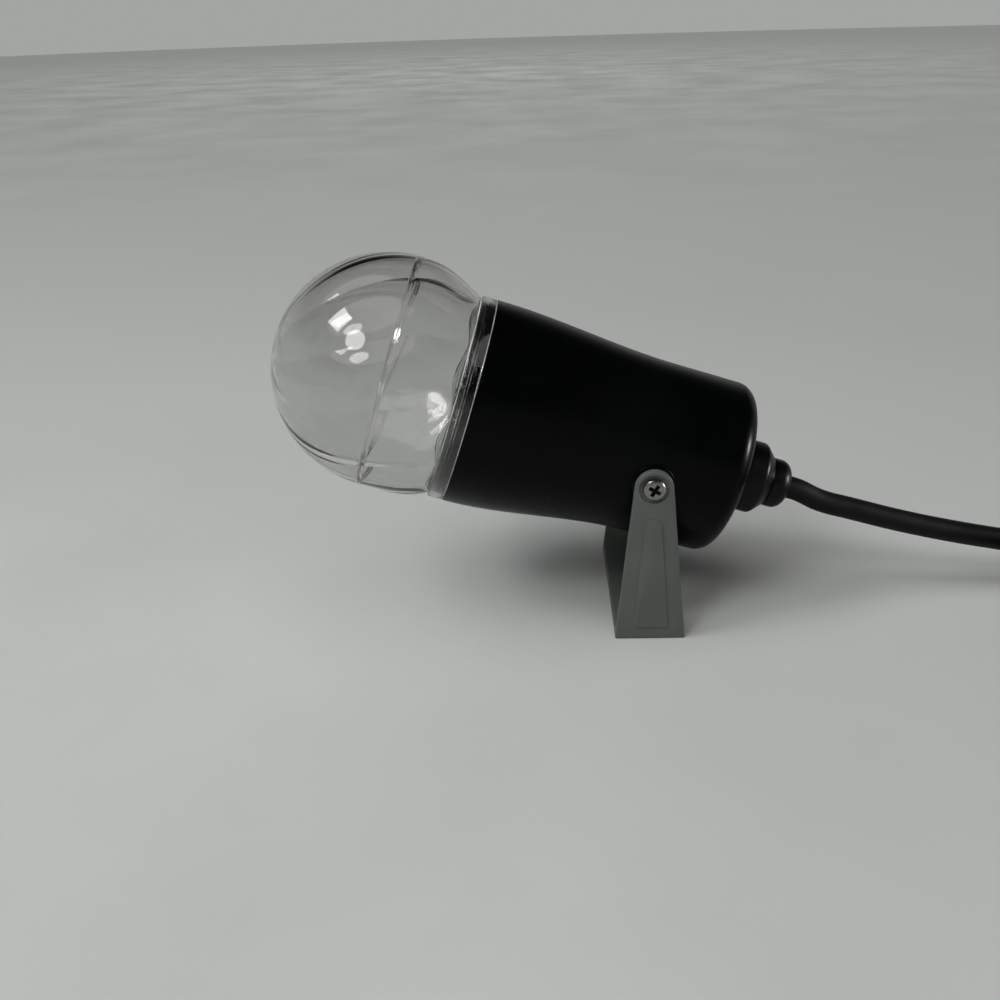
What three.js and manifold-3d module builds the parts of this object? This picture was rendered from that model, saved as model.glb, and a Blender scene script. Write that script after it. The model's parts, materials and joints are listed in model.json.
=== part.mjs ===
// A globe party light: a clear two-part globe on a tapered black housing that tilts in a grey U bracket,
// with a faceted lens that turns behind the globe's mouth and a heavy round lead with an earthed plug.
// Millimetres, +Z up. The globe points towards -X and the tilt axis lies along Y. The origin is the
// middle of the bracket's underside.
import * as THREE from 'three';
import { mergeVertices } from 'three/addons/utils/BufferGeometryUtils.js';
import Module from 'manifold-3d';

const wasm = await Module();
wasm.setup();

// Fits and cuts
const clearance = 0.3; // between pieces that touch
const overrun = 1; // how far a cutting solid runs past what it cuts
const sink = 0.4; // how far a boss or a lug reaches into the wall that it grows from

// Pose of the head in its bracket
const pivotHeight = 59;
const headTilt = THREE.MathUtils.degToRad(18); // the globe's end raised

// Bracket
const bracketWall = 2.5;
const footWidth = 25;
const archRadius = 6.7;
const bracketFillet = 3;
const panelMargin = 5.7; // from the arm's edge, at the panel's foot
const panelTopMargin = 4.9;
const panelCorner = 1.3;
const panelHeight = 0.55;
const panelFoot = 5; // from the foot to the panel's lower edge
const panelTop = 47.6;
const dishRadius = 5.25;
const dishDepth = 0.8;
const wallHoleRadius = 2.3;
const wallHoleSpacing = 40;

// Pivot hardware
const pivotShankRadius = 2;
const pivotShankLength = 12.5;
const pivotHeadRadius = 4;
const pivotHeadHeight = 2.1;
const crossWidth = 1.4;
const crossDepth = 1.2;
const washerRadius = 6;
const washerThickness = 0.5;
const insertWall = 1.2;
const insertLength = 8;
const pivotPadRadius = 7.5;
const pivotPadHeight = 0.45; // over the housing's waist
const pivotBossRadius = 5.6;
const pivotBossLength = 11; // from the pad inwards

// Housing, with its places counted along the head's axis from the tilt axis, the globe's side positive
const housingFront = 67.4;
const housingRear = -31.7;
const waistRadius = 31.95;
const mouthSwell = 5.45; // the mouth's radius over the waist's
const barrelRise = 1.6; // the barrel's middle line over the mouth's, from the pivots back
const taperRear = -0.6;
const taperFront = 65.6;
const housingWall = 2.4;
const rearWall = 2.6;
const rearCorner = 6;
const spigotLength = 2.7;
const spigotWall = 2.4;
const postRadius = 3.4;
const postLength = 16;
const postRibWidth = 3;
const postRibShare = 0.6; // how far a post's rib reaches into the wall

// Clear ring over the housing's mouth
const ringLength = 5.3;
const ringSkirtWall = 1.4;
const ringEdge = 0.6;
const lipLength = 0.9;
const lugWidth = 9.8;
const lugDepth = 1.6;
const lugLength = 1;
const lugSetback = 0.5; // from the ring's rear edge
const lugAngles = [30, 150, 270].map(THREE.MathUtils.degToRad); // from the near side upwards
const gasketThickness = 0.5;

// Globe
const globeSwell = 4.6; // the globe's radius over the mouth's
const globeRise = 2.4; // the globe's middle over the mouth's
const globeWall = 2;
const bandLength = 3.3; // straight stretch behind the seam
const neckLength = 2.1;
const neckFlange = 0.6; // held behind the ring's lip
const neckFlangeDepth = 0.8;
const shoulderStep = 1.64; // from the neck out to the ball
const tongueLength = 1.2;
const beadHeight = 0.25;
const beadLength = 0.7;

// Turning lens and its drive
const lensGap = 1.8; // round the lens, inside the housing's mouth
const lensRim = 1.8;
const lensRise = 5.5;
const lensShell = 2;
const lensFront = 70.4;
const facetHeight = 0.7;
const facetRings = 5;
const facetsRound = 24;
const hubRadius = 4;
const hubLength = 5;
const shaftRadius = 1.5;
const shaftTip = 2.2; // the shaft's end past the lens
const capNutRadius = 3.2;
const capNutHeight = 2.6;
const motorRadius = 11;
const motorLength = 16;
const motorFlangeRadius = 16;
const motorFlange = 1.5;
const motorRearWall = 1.5;
const motorScrewCircle = 13.4;

// Light engine
const heatSinkFront = 27.5;
const heatSinkBase = 3.5;
const heatSinkInset = 2.4; // from the housing's waist
const finLength = 14;
const finThickness = 1.4;
const finSpreadShare = 0.94; // the outer fins' places over their reach
const finGap = 0.4; // to the posts
const finBore = 17.2;
const finCount = 11;
const boardThickness = 1.6;
const ledBoardInset = 4.2; // from the chassis screws' circle
const ledInset = 9.85; // from the collimator's edge to the emitters' circle
const ledRadius = 3;
const ledBase = 1;
const ledDomeShare = 0.8; // the dome's radius over the emitter's
const centreHole = 4.5;
const collimatorLength = 11;
const collimatorMouth = 9;
const collimatorThroat = 4.2;
const collimatorFlange = 1.5;
const collimatorInset = 3.2; // from the chassis screws' circle
const collimatorLeg = 1.6;
const legAngles = [90, 210, 330].map(THREE.MathUtils.degToRad);

// Screws' pan heads, as shares of their height and radius
const panEdgeShare = 0.5;
const panRiseShare = 0.9;
const panCrownShare = 0.7;
const crossShare = 0.6;

// Small fasteners inside
const chassisInset = 3.1; // from the heat sink's edge
const chassisShank = 1.3;
const chassisHead = 2.4;
const chassisHeadHeight = 1.5;
const chassisScrewLength = 11;
const smallShank = 1;
const smallHead = 1.9;
const smallHeadHeight = 1.2;
const boardScrewInset = 2.5;
const trayScrewLength = 3.6;

// Chassis tray, transformer and driver board behind the light engine
const trayRear = -18;
const trayFront = 5.4;
const trayLevel = 5.4; // above the head's axis
const trayThickness = 1.5;
const trayGap = 0.4; // to the pivot bosses
const railHalfHeight = 1.3;
const railReach = 4; // under the tray's edge
const railLength = 23;
const pillarRadius = 1.8;
const pillarHeight = 3.2;
const pillarInset = 3.5;
const driverLength = 21;
const driverInset = 5.5; // from the tray's edge
const coreLength = 20;
const coreInset = 2; // from the rails
const coreLimbShare = 1 / 6; // an outer limb's width over the core's
const coreHeight = 20;
const coreRear = -16;
const windingOverhang = 3;
const capacitorRadius = 3.5;
const capacitorHeight = 10;
const chokeRadius = 3.5;
const chokeHeight = 7;
const componentSpacing = 12; // from the capacitor's middle to the choke's
const terminalLength = 8;
const terminalWidth = 15;
const terminalHeight = 7;

// Cable gland
const glandFlangeRadius = 13.4;
const glandFlangeLength = 11.1;
const glandFlangeRound = 1;
const glandBevelLength = 3.9;
const glandThreadRadius = 9.6;
const glandThreadLength = 6.5; // inside the flange
const glandShoulder = 9.5;
const glandNutRadius = 9.1;
const glandNutLength = 7.6;
const glandNutRound = 4.2;
const glandNutMouth = 4.9;
const glandSealWall = 1.8;
const glandSealLength = 9;
const locknutRadius = 13.6;
const locknutLength = 3;

// Lead
const cordRadius = 4.2;
const cordInnerLength = 29.7;
const wireRadius = 1.2;
const wirePitchShare = 2.2; // from one wire to the next, over a wire's radius

// Coil of the lead that lies past the light, wound clockwise from its upper layer to its lower one
const coilCentre = [195, -30];
const coilInner = 31; // centre line of the innermost turn
const turnPitch = 8.9;
const layerPitch = 9;
const coilStartAngle = THREE.MathUtils.degToRad(120);
const upperTurns = 1.75;
const reversingTurns = 0.5;
const lowerTurns = 2.361;
const stepsPerTurn = 24;
const coilSides = 6;
const tieWall = 0.8;
const tieWidth = 10;
const tieClearance = 1;
const tieAngle = THREE.MathUtils.degToRad(-45);

// Plug
const plugHalfWidth = 13;
const plugHalfHeight = 11;
const plugBodyLength = 32;
const plugGrip = 17;
const reliefLength = 20;
const reliefRadius = 5.6;
const plugHeading = 0;
const plugLevel = 30; // height of its axis, so that it lies on the coil
const plugCorner = 4;
const bladeLength = 17.5;
const bladeWidth = 6.3;
const bladeThickness = 1.5;
const bladeSpacing = 12.7;
const groundPinRadius = 2.4;
const groundPinLength = 20.5;
const groundPinDrop = 5.9;
const bladeRise = 4.2;

// Facet counts
const fine = 36;
const medium = 24;
const plain = 16;
const coarse = 12;
const slight = 8;
const sixSided = 6;

// Places worked out from the sizes
const padFace = waistRadius + pivotPadHeight;
const bracketInnerFace = padFace + washerThickness + clearance;
const bracketSpan = 2 * (bracketInnerFace + bracketWall); // outside the arms
const mouthRadius = waistRadius + mouthSwell;
const ringRear = housingFront + clearance;
const ringFront = ringRear + ringLength;
const lipRear = ringFront - lipLength;
const lugRear = ringRear + lugSetback;
const skirtInner = mouthRadius - ringSkirtWall;
const spigotRadius = skirtInner - clearance;
const spigotInner = spigotRadius - spigotWall;
const spigotFront = housingFront + spigotLength;
const gasketRear = spigotFront + clearance;
const neckRear = gasketRear + gasketThickness + clearance;
const shoulderPlace = neckRear + neckLength;
const globeRadius = mouthRadius + globeSwell;
const sphereInner = globeRadius - globeWall;
const neckRadius = spigotRadius - neckFlangeDepth;
const rearSphereCentre = shoulderPlace + Math.sqrt(globeRadius ** 2 - (neckRadius + shoulderStep) ** 2);
const seamPlace = rearSphereCentre + bandLength;
const lensRadius = spigotInner - lensGap;
const heatSinkRadius = waistRadius - heatSinkInset;
const chassisCircle = heatSinkRadius - chassisInset;
const finReach = chassisCircle - postRadius - finGap;
const finPitch = (2 * finReach * finSpreadShare) / (finCount - 1);
const ledBoardRadius = chassisCircle - ledBoardInset;
const boardScrewCircle = ledBoardRadius - boardScrewInset;
const collimatorRadius = chassisCircle - collimatorInset;
const ledCircle = collimatorRadius - ledInset;
const trayHalfWidth = padFace - pivotBossLength - trayGap;
const railInner = trayHalfWidth - railReach;
const driverHalfWidth = trayHalfWidth - driverInset;
const coreHalfWidth = railInner - coreInset;
const coreLimb = 2 * coreHalfWidth * coreLimbShare;
const boardFront = heatSinkFront + clearance + boardThickness;
const glandRear = housingRear - clearance;
const glandShoulderPlace = glandRear - glandFlangeLength - glandBevelLength;
const glandExit = glandShoulderPlace - clearance - glandNutLength;
const insertRadius = pivotShankRadius + clearance + insertWall;

const black = { color: 0x0b0c0d, roughness: 0.32, metalness: 0 };
const softBlack = { color: 0x111213, roughness: 0.62, metalness: 0 };
const grey = { color: 0x4d504d, roughness: 0.55, metalness: 0 };
const clear = { color: 0xe9efef, roughness: 0.05, metalness: 0, transparent: true, opacity: 0.3 };
const nickel = { color: 0xb9b7b0, roughness: 0.28, metalness: 1 };
const brass = { color: 0xc09a4e, roughness: 0.35, metalness: 1 };
const steel = { color: 0x8d8f92, roughness: 0.4, metalness: 1 };
const aluminium = { color: 0xb4b7ba, roughness: 0.45, metalness: 1 };
const circuit = { color: 0xe8e8e2, roughness: 0.5, metalness: 0 };
const fibre = { color: 0x2f6a3c, roughness: 0.5, metalness: 0 };
const copper = { color: 0xa8562a, roughness: 0.4, metalness: 0.6 };

// Closes a geometry into indexed positions with its faces pointing out
function tidy(geometry) {
  geometry.deleteAttribute('normal');
  geometry.deleteAttribute('uv');
  const merged = mergeVertices(geometry, 1e-4);
  const place = merged.getAttribute('position');
  const source = merged.index.array;
  const kept = [];
  let volume = 0;
  const [a, b, c] = [new THREE.Vector3(), new THREE.Vector3(), new THREE.Vector3()];
  for (let i = 0; i < source.length; i += 3) {
    const [p, q, r] = [source[i], source[i + 1], source[i + 2]];
    if (p === q || q === r || r === p) continue;
    kept.push(p, q, r);
    a.fromBufferAttribute(place, p);
    b.fromBufferAttribute(place, q);
    c.fromBufferAttribute(place, r);
    volume += a.dot(b.cross(c));
  }
  if (volume < 0) {
    for (let i = 0; i < kept.length; i += 3) {
      [kept[i], kept[i + 1]] = [kept[i + 1], kept[i]];
    }
  }
  const closed = new THREE.BufferGeometry();
  closed.setAttribute('position', place);
  closed.setIndex(kept);
  return closed;
}

function solid(geometry) {
  const closed = tidy(geometry);
  const mesh = new wasm.Mesh({
    numProp: 3,
    vertProperties: Float32Array.from(closed.getAttribute('position').array),
    triVerts: Uint32Array.from(closed.index.array),
  });
  return new wasm.Manifold(mesh);
}

function fromSolid(body) {
  const mesh = body.getMesh();
  const geometry = new THREE.BufferGeometry();
  geometry.setAttribute('position', new THREE.BufferAttribute(mesh.vertProperties.slice(), 3));
  geometry.setIndex([...mesh.triVerts]);
  return geometry;
}

// Joins the first list of geometries, then takes the second list away
function shape(joined, cuts = []) {
  let body = solid(joined[0]);
  for (const piece of joined.slice(1)) body = body.add(solid(piece));
  for (const piece of cuts) body = body.subtract(solid(piece));
  return fromSolid(body);
}

function common(first, second) {
  return fromSolid(solid(first).intersect(solid(second)));
}

// Turns an outline of [radius, place] points round the Z axis
function revolve(outline, segments = medium) {
  const points = outline.map(([radius, place]) => new THREE.Vector2(radius, place));
  return new THREE.LatheGeometry(points, segments).rotateX(Math.PI / 2);
}

function ring(inner, outer, from, to, segments = medium) {
  return revolve([[inner, from], [outer, from], [outer, to], [inner, to], [inner, from]], segments);
}

function rod(radius, from, to, segments = coarse) {
  return revolve([[0, from], [radius, from], [radius, to], [0, to]], segments);
}

// A nut of six sides and a round bore
function nut(bore, corners, from, to) {
  return shape([rod(corners, from, to, sixSided)], [rod(bore, from - overrun, to + overrun, medium)]);
}

function block(from, to) {
  const size = to.map((value, i) => value - from[i]);
  const middle = to.map((value, i) => (value + from[i]) / 2);
  return new THREE.BoxGeometry(...size).translate(...middle);
}

// A round arc of [radius, place] points about a centre, angles from the outward direction to the front
function arc(centreRadius, centrePlace, radius, from, to, steps) {
  return Array.from({ length: steps + 1 }, (_, i) => {
    const angle = from + ((to - from) * i) / steps;
    return [centreRadius + radius * Math.cos(angle), centrePlace + radius * Math.sin(angle)];
  });
}

// Moves each point upwards by the rise at its place along the axis
function raised(geometry, riseAt) {
  const points = geometry.getAttribute('position');
  for (let i = 0; i < points.count; i += 1) points.setX(i, points.getX(i) + riseAt(points.getZ(i)));
  return geometry;
}

const model = new THREE.Group();
const head = new THREE.Group(); // local X up, Y along the tilt axis, Z along the head's axis to the globe
head.position.z = pivotHeight;
head.rotation.y = headTilt - Math.PI / 2;
model.add(head);

function add(parent, name, geometry, finish) {
  const mesh = new THREE.Mesh(tidy(geometry), new THREE.MeshStandardMaterial(finish));
  mesh.name = name;
  parent.add(mesh);
  return mesh;
}

// Bracket: a U of even wall, its arms tapered to an arch round the pivot
function makeBracket() {
  const half = bracketSpan / 2;
  const top = pivotHeight + archRadius;
  const u = new THREE.Shape();
  u.moveTo(-half, 0);
  u.lineTo(half, 0);
  u.lineTo(half, top);
  u.lineTo(bracketInnerFace, top);
  u.lineTo(bracketInnerFace, bracketWall + bracketFillet);
  u.absarc(bracketInnerFace - bracketFillet, bracketWall + bracketFillet, bracketFillet,
    0, -Math.PI / 2, true);
  u.lineTo(-bracketInnerFace + bracketFillet, bracketWall);
  u.absarc(-bracketInnerFace + bracketFillet, bracketWall + bracketFillet, bracketFillet,
    -Math.PI / 2, -Math.PI, true);
  u.lineTo(-bracketInnerFace, top);
  u.lineTo(-half, top);
  u.closePath();
  const bent = new THREE.ExtrudeGeometry(u, { depth: footWidth, bevelEnabled: false, curveSegments: 4 })
    .translate(0, 0, -footWidth / 2)
    .rotateX(Math.PI / 2)
    .rotateZ(Math.PI / 2);

  const reach = Math.hypot(footWidth / 2, pivotHeight);
  const lean = Math.asin(archRadius / reach) - Math.atan2(footWidth / 2, pivotHeight);
  const side = new THREE.Shape();
  side.moveTo(-footWidth / 2, 0);
  side.lineTo(footWidth / 2, 0);
  side.absarc(0, pivotHeight, archRadius, -lean, Math.PI + lean, false);
  side.closePath();
  const outline = new THREE.ExtrudeGeometry(side,
    { depth: bracketSpan, bevelEnabled: false, curveSegments: coarse })
    .rotateX(Math.PI / 2)
    .translate(0, bracketSpan / 2, 0);

  const armHalf = (height) => footWidth / 2 - (footWidth / 2 - archRadius) * (height / pivotHeight);
  const panelRound = armHalf(panelTop) - panelTopMargin;
  const panelHalf = armHalf(panelFoot) - panelMargin;
  const panel = new THREE.Shape();
  panel.moveTo(panelCorner - panelHalf, panelFoot);
  panel.lineTo(panelHalf - panelCorner, panelFoot);
  panel.quadraticCurveTo(panelHalf, panelFoot, panelHalf, panelFoot + panelCorner);
  panel.absarc(0, panelTop - panelRound, panelRound, 0, Math.PI, false);
  panel.lineTo(-panelHalf, panelFoot + panelCorner);
  panel.quadraticCurveTo(-panelHalf, panelFoot, panelCorner - panelHalf, panelFoot);
  const panels = [-1, 1].map((way) =>
    new THREE.ExtrudeGeometry(panel, { depth: panelHeight + sink, bevelEnabled: false, curveSegments: 4 })
      .rotateX(Math.PI / 2)
      .translate(0, way > 0 ? half + panelHeight : -half + sink, 0));

  const across = (radius, from, to) => rod(radius, from, to, medium)
    .rotateX(-Math.PI / 2)
    .translate(0, 0, pivotHeight);
  const cuts = [
    across(pivotShankRadius + clearance, -half - overrun, half + overrun),
    across(dishRadius, half - dishDepth, half + overrun),
    across(dishRadius, -half - overrun, -half + dishDepth),
  ];
  for (const way of [-1, 1]) {
    cuts.push(rod(wallHoleRadius, -overrun, bracketWall + overrun, plain)
      .translate(0, way * wallHoleSpacing / 2, 0));
  }
  return shape([common(bent, outline), ...panels], cuts);
}

add(model, 'bracket', makeBracket(), grey);

// Housing: a moulded cup that widens to its mouth in a soft S, its barrel a little higher than the mouth
const housingRadius = (place) => {
  const share = THREE.MathUtils.clamp((place - taperRear) / (taperFront - taperRear), 0, 1);
  return waistRadius + (mouthRadius - waistRadius) * share * share * (3 - 2 * share);
};

const barrelRiseAt = (place) => barrelRise * (1 - THREE.MathUtils.smoothstep(place, 0, housingFront));

function housingSide(inset, from, to, steps) {
  return Array.from({ length: steps + 1 }, (_, i) => {
    const place = from + ((to - from) * i) / steps;
    return [housingRadius(place) - inset, place];
  });
}

function makeHousing() {
  const corner = (inset, floor) => arc(
    waistRadius - rearCorner, floor + rearCorner - inset, rearCorner - inset, -Math.PI / 2, 0, 5);
  const innerFloor = housingRear + rearWall;
  const bore = spigotRadius - spigotWall;
  const outline = [
    [0, housingRear],
    ...corner(0, housingRear),
    ...housingSide(0, taperRear, taperFront, 8),
    [mouthRadius, housingFront],
    [spigotRadius, housingFront],
    [spigotRadius, spigotFront],
    [bore, spigotFront],
    [bore, housingFront - housingWall],
    ...housingSide(housingWall, taperRear, housingFront - 2 * housingWall, 4).reverse(),
    ...corner(housingWall, innerFloor).reverse(),
    [0, innerFloor],
  ];
  const joined = [raised(revolve(outline, fine), barrelRiseAt)];
  const cuts = [rod(glandThreadRadius + clearance, housingRear - overrun, innerFloor + overrun, medium)
    .translate(barrelRise, 0, 0)];
  const wallAt = (place) => housingRadius(place) - housingWall;
  for (const way of [-1, 1]) {
    const across = (radius, from, to) => rod(radius, from, to, medium).rotateX(-way * Math.PI / 2);
    joined.push(across(pivotPadRadius, wallAt(0), padFace));
    joined.push(across(pivotBossRadius, padFace - pivotBossLength, padFace - sink));
    cuts.push(across(insertRadius + clearance, padFace - pivotBossLength - overrun, padFace + overrun));
    const railFrom = way > 0 ? railInner : -wallAt(0) - sink;
    const railTo = way > 0 ? wallAt(0) + sink : -railInner;
    const railTop = trayLevel - clearance;
    joined.push(block(
      [railTop - 2 * railHalfHeight, railFrom, trayRear],
      [railTop, railTo, trayRear + railLength]));
  }
  const postFront = heatSinkFront - heatSinkBase - clearance;
  const postRear = postFront - postLength;
  for (const angle of lugAngles) {
    const [x, y] = [Math.sin(angle), -Math.cos(angle)];
    const ribEnd = wallAt(postRear) + barrelRiseAt(postRear) * x + housingWall * postRibShare;
    joined.push(rod(postRadius, postRear, postFront).translate(x * chassisCircle, y * chassisCircle, 0));
    joined.push(block([chassisCircle, -postRibWidth / 2, postRear], [ribEnd, postRibWidth / 2, postFront])
      .rotateZ(angle - Math.PI / 2));
    cuts.push(rod(chassisShank + clearance, postFront - chassisScrewLength, postFront + overrun)
      .translate(x * chassisCircle, y * chassisCircle, 0));
    cuts.push(block(
      [spigotRadius - lugDepth, -lugWidth / 2 - clearance, housingFront],
      [spigotRadius + overrun, lugWidth / 2 + clearance, lugRear + lugLength + clearance])
      .rotateZ(angle - Math.PI / 2));
  }
  return shape(joined, cuts);
}

add(head, 'housing', makeHousing(), black);

// Clear ring: a skirt over the spigot, a lip round the globe's neck and three locating lugs
function makeRing() {
  const lipInner = neckRadius + clearance;
  const outline = [
    [skirtInner, ringRear],
    [mouthRadius, ringRear],
    ...arc(mouthRadius - ringEdge, ringFront - ringEdge, ringEdge, 0, Math.PI / 2, 3),
    [lipInner, ringFront],
    [lipInner, lipRear],
    [skirtInner, lipRear],
    [skirtInner, ringRear],
  ];
  const lugs = lugAngles.map((angle) => block(
    [skirtInner - lugDepth + clearance, -lugWidth / 2, lugRear],
    [skirtInner + sink, lugWidth / 2, lugRear + lugLength])
    .rotateZ(angle - Math.PI / 2));
  return shape([revolve(outline, fine), ...lugs]);
}

add(head, 'bezel_ring', makeRing(), clear);
add(head, 'bezel_gasket', ring(neckRadius - spigotWall + sink, neckRadius, gasketRear,
  gasketRear + gasketThickness, fine), softBlack);

// Globe: the rear half has a neck and a tongue, the front half laps over the tongue. Both halves sit a
// little higher than the mouth, and the rear half's ball leans up to them from its neck
const globeRiseAt = (place) => globeRise
  * THREE.MathUtils.smoothstep(place, shoulderPlace, rearSphereCentre);

function makeGlobeRear() {
  const neckInner = neckRadius - globeWall;
  const tongueRadius = globeRadius - globeWall / 2 - clearance / 2;
  const shoulderAngle = Math.asin((shoulderPlace - rearSphereCentre) / globeRadius);
  return raised(revolve([
    [neckInner, neckRear],
    [spigotRadius, neckRear],
    [spigotRadius, neckRear + neckFlange],
    [neckRadius, neckRear + neckFlange],
    [neckRadius, shoulderPlace],
    ...arc(0, rearSphereCentre, globeRadius, shoulderAngle, 0, 5),
    [globeRadius, seamPlace - beadLength],
    [globeRadius + beadHeight, seamPlace - beadLength / 2],
    [globeRadius, seamPlace],
    [tongueRadius, seamPlace],
    [tongueRadius, seamPlace + tongueLength],
    [sphereInner, seamPlace + tongueLength],
    ...arc(0, rearSphereCentre, sphereInner, 0, -Math.acos(neckInner / sphereInner), 5),
    [neckInner, neckRear],
  ], fine), globeRiseAt);
}

function makeGlobeFront() {
  const lapRadius = globeRadius - globeWall / 2 + clearance / 2;
  const seamFront = seamPlace + clearance;
  const innerEdge = seamPlace + tongueLength + clearance;
  const innerAngle = Math.asin((innerEdge - seamFront) / sphereInner);
  return revolve([
    [0, seamFront + globeRadius],
    ...arc(0, seamFront, globeRadius, Math.PI / 2, 0, 12).slice(1, -1),
    [globeRadius, seamFront + beadLength],
    [globeRadius + beadHeight, seamFront + beadLength / 2],
    [globeRadius, seamFront],
    [lapRadius, seamFront],
    [lapRadius, innerEdge],
    ...arc(0, seamFront, sphereInner, innerAngle, Math.PI / 2, 8).slice(0, -1),
    [0, seamFront + sphereInner],
  ], fine).translate(globeRise, 0, 0);
}

add(head, 'globe_rear', makeGlobeRear(), clear);
add(head, 'globe_front', makeGlobeFront(), clear);

// Turning lens: a shallow dome of square facets, each raised to a point, on a hub
function makeLens() {
  const rimPlace = lensFront - lensRise;
  const bend = (lensRadius ** 2 + lensRise ** 2) / (2 * lensRise);
  const dome = (radius) => rimPlace + Math.sqrt(bend ** 2 - radius ** 2) - (bend - lensRise);
  const innermost = hubRadius + clearance;
  const corner = (row, column, lift = 0) => {
    const radius = innermost + ((lensRadius - innermost) * row) / facetRings;
    const angle = (2 * Math.PI * column) / facetsRound;
    return [radius * Math.cos(angle), radius * Math.sin(angle), dome(radius) + lift];
  };
  const backPlace = rimPlace - lensRim;
  const places = [];
  const face = (...corners) => {
    for (let i = 1; i + 1 < corners.length; i += 1) {
      places.push(...corners[0], ...corners[i], ...corners[i + 1]);
    }
  };
  const apex = [0, 0, lensFront];
  for (let column = 0; column < facetsRound; column += 1) {
    for (let row = 0; row < facetRings; row += 1) {
      const square = [[0, 0], [1, 0], [1, 1], [0, 1]]
        .map(([out, round]) => corner(row + out, column + round));
      const tip = corner(row + 1 / 2, column + 1 / 2, facetHeight);
      square.forEach((point, i) => face(point, square[(i + 1) % 4], tip));
    }
    const edge = [corner(facetRings, column), corner(facetRings, column + 1)];
    const foot = edge.map(([x, y]) => [x, y, backPlace]);
    const within = 1 - lensShell / lensRadius;
    const inner = edge.map(([x, y]) => [x * within, y * within, backPlace]);
    const under = [0, 1].map((i) => {
      const [x, y, z] = corner(2, column + i);
      return [x, y, z - lensShell - lensRim];
    });
    face(edge[0], foot[0], foot[1], edge[1]);
    face(foot[0], inner[0], inner[1], foot[1]);
    face(inner[0], under[0], under[1], inner[1]);
    face(under[0], [0, 0, lensFront - lensShell - lensRim], under[1]);
    face(corner(0, column), corner(0, column + 1), apex);
  }
  const facets = new THREE.BufferGeometry();
  facets.setAttribute('position', new THREE.Float32BufferAttribute(places, 3));
  const hub = rod(hubRadius, backPlace - hubLength + lensRim, lensFront - lensShell / 2, coarse);
  const bore = rod(shaftRadius + clearance, backPlace - hubLength - overrun, lensFront + overrun);
  const seat = rod(hubRadius, lensFront, lensFront + facetHeight + overrun, coarse);
  return shape([facets, hub], [bore, seat]);
}

add(head, 'disco_lens', makeLens(), clear);

// Drive: a small geared motor behind the heat sink, its shaft out through the light engine to the lens
const heatSinkRear = heatSinkFront - heatSinkBase;
const motorFront = heatSinkRear - clearance;
const motorRear = motorFront - motorFlange - motorLength;
add(head, 'lens_shaft', rod(shaftRadius, motorRear + motorRearWall + clearance,
  lensFront + shaftTip), steel);
add(head, 'lens_cap_nut', nut(shaftRadius + clearance, capNutRadius, lensFront + clearance,
  lensFront + clearance + capNutHeight), nickel);

function makeMotor() {
  const outline = [
    [0, motorRear],
    [motorRadius, motorRear],
    [motorRadius, motorFront - motorFlange],
    [motorFlangeRadius, motorFront - motorFlange],
    [motorFlangeRadius, motorFront],
    [shaftRadius + clearance, motorFront],
    [shaftRadius + clearance, motorRear + motorRearWall],
    [0, motorRear + motorRearWall],
  ];
  const cuts = [-1, 1].map((way) => rod(smallShank + clearance, motorFront - motorFlange - overrun,
    motorFront + overrun).translate(0, way * motorScrewCircle, 0));
  return shape([revolve(outline, medium)], cuts);
}

add(head, 'motor_body', makeMotor(), steel);

// A pan-headed screw along Z, its head's seat at zero and its shank towards -Z
function screw(shank, headRadius, headHeight, length) {
  return revolve([
    [0, -length],
    [shank, -length],
    [shank, 0],
    [headRadius, 0],
    [headRadius, headHeight * panEdgeShare],
    [headRadius * panCrownShare, headHeight * panRiseShare],
    [0, headHeight],
  ], coarse);
}

[-1, 1].forEach((way, i) => {
  const fastener = screw(smallShank, smallHead, smallHeadHeight, heatSinkBase + motorFlange);
  fastener.rotateX(Math.PI).translate(0, way * motorScrewCircle, motorFront - motorFlange - clearance);
  add(head, `motor_screw_${i + 1}`, fastener, steel);
});

// Heat sink: a disc with straight fins behind it, open round the motor
function makeHeatSink() {
  const joined = [rod(heatSinkRadius, heatSinkRear, heatSinkFront, fine)];
  const fins = Array.from({ length: finCount }, (_, i) => {
    const middle = (i - (finCount - 1) / 2) * finPitch;
    const half = Math.sqrt(finReach * finReach - middle * middle);
    return block([-half, middle - finThickness / 2, heatSinkRear - finLength],
      [half, middle + finThickness / 2, heatSinkRear + sink]);
  });
  const cuts = [
    rod(centreHole, heatSinkRear - overrun, heatSinkFront + overrun),
  ];
  const open = solid(rod(finBore, heatSinkRear - finLength - overrun, heatSinkRear, medium));
  for (const fin of fins) joined.push(fromSolid(solid(fin).subtract(open)));
  for (const angle of lugAngles) {
    cuts.push(rod(chassisShank + clearance, heatSinkRear - overrun, heatSinkFront + overrun)
      .translate(chassisCircle * Math.sin(angle), -chassisCircle * Math.cos(angle), 0));
  }
  for (const way of [-1, 1]) {
    cuts.push(rod(smallShank + clearance, heatSinkRear - overrun, heatSinkFront + overrun)
      .translate(0, way * motorScrewCircle, 0));
    cuts.push(rod(smallShank + clearance, heatSinkRear - overrun, heatSinkFront + overrun)
      .translate(way * boardScrewCircle, 0, 0));
  }
  return shape(joined, cuts);
}

add(head, 'heat_sink', makeHeatSink(), aluminium);
lugAngles.forEach((angle, i) => {
  const fastener = screw(chassisShank, chassisHead, chassisHeadHeight, chassisScrewLength);
  fastener.translate(chassisCircle * Math.sin(angle), -chassisCircle * Math.cos(angle),
    heatSinkFront + clearance);
  add(head, `chassis_screw_${i + 1}`, fastener, steel);
});

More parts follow.
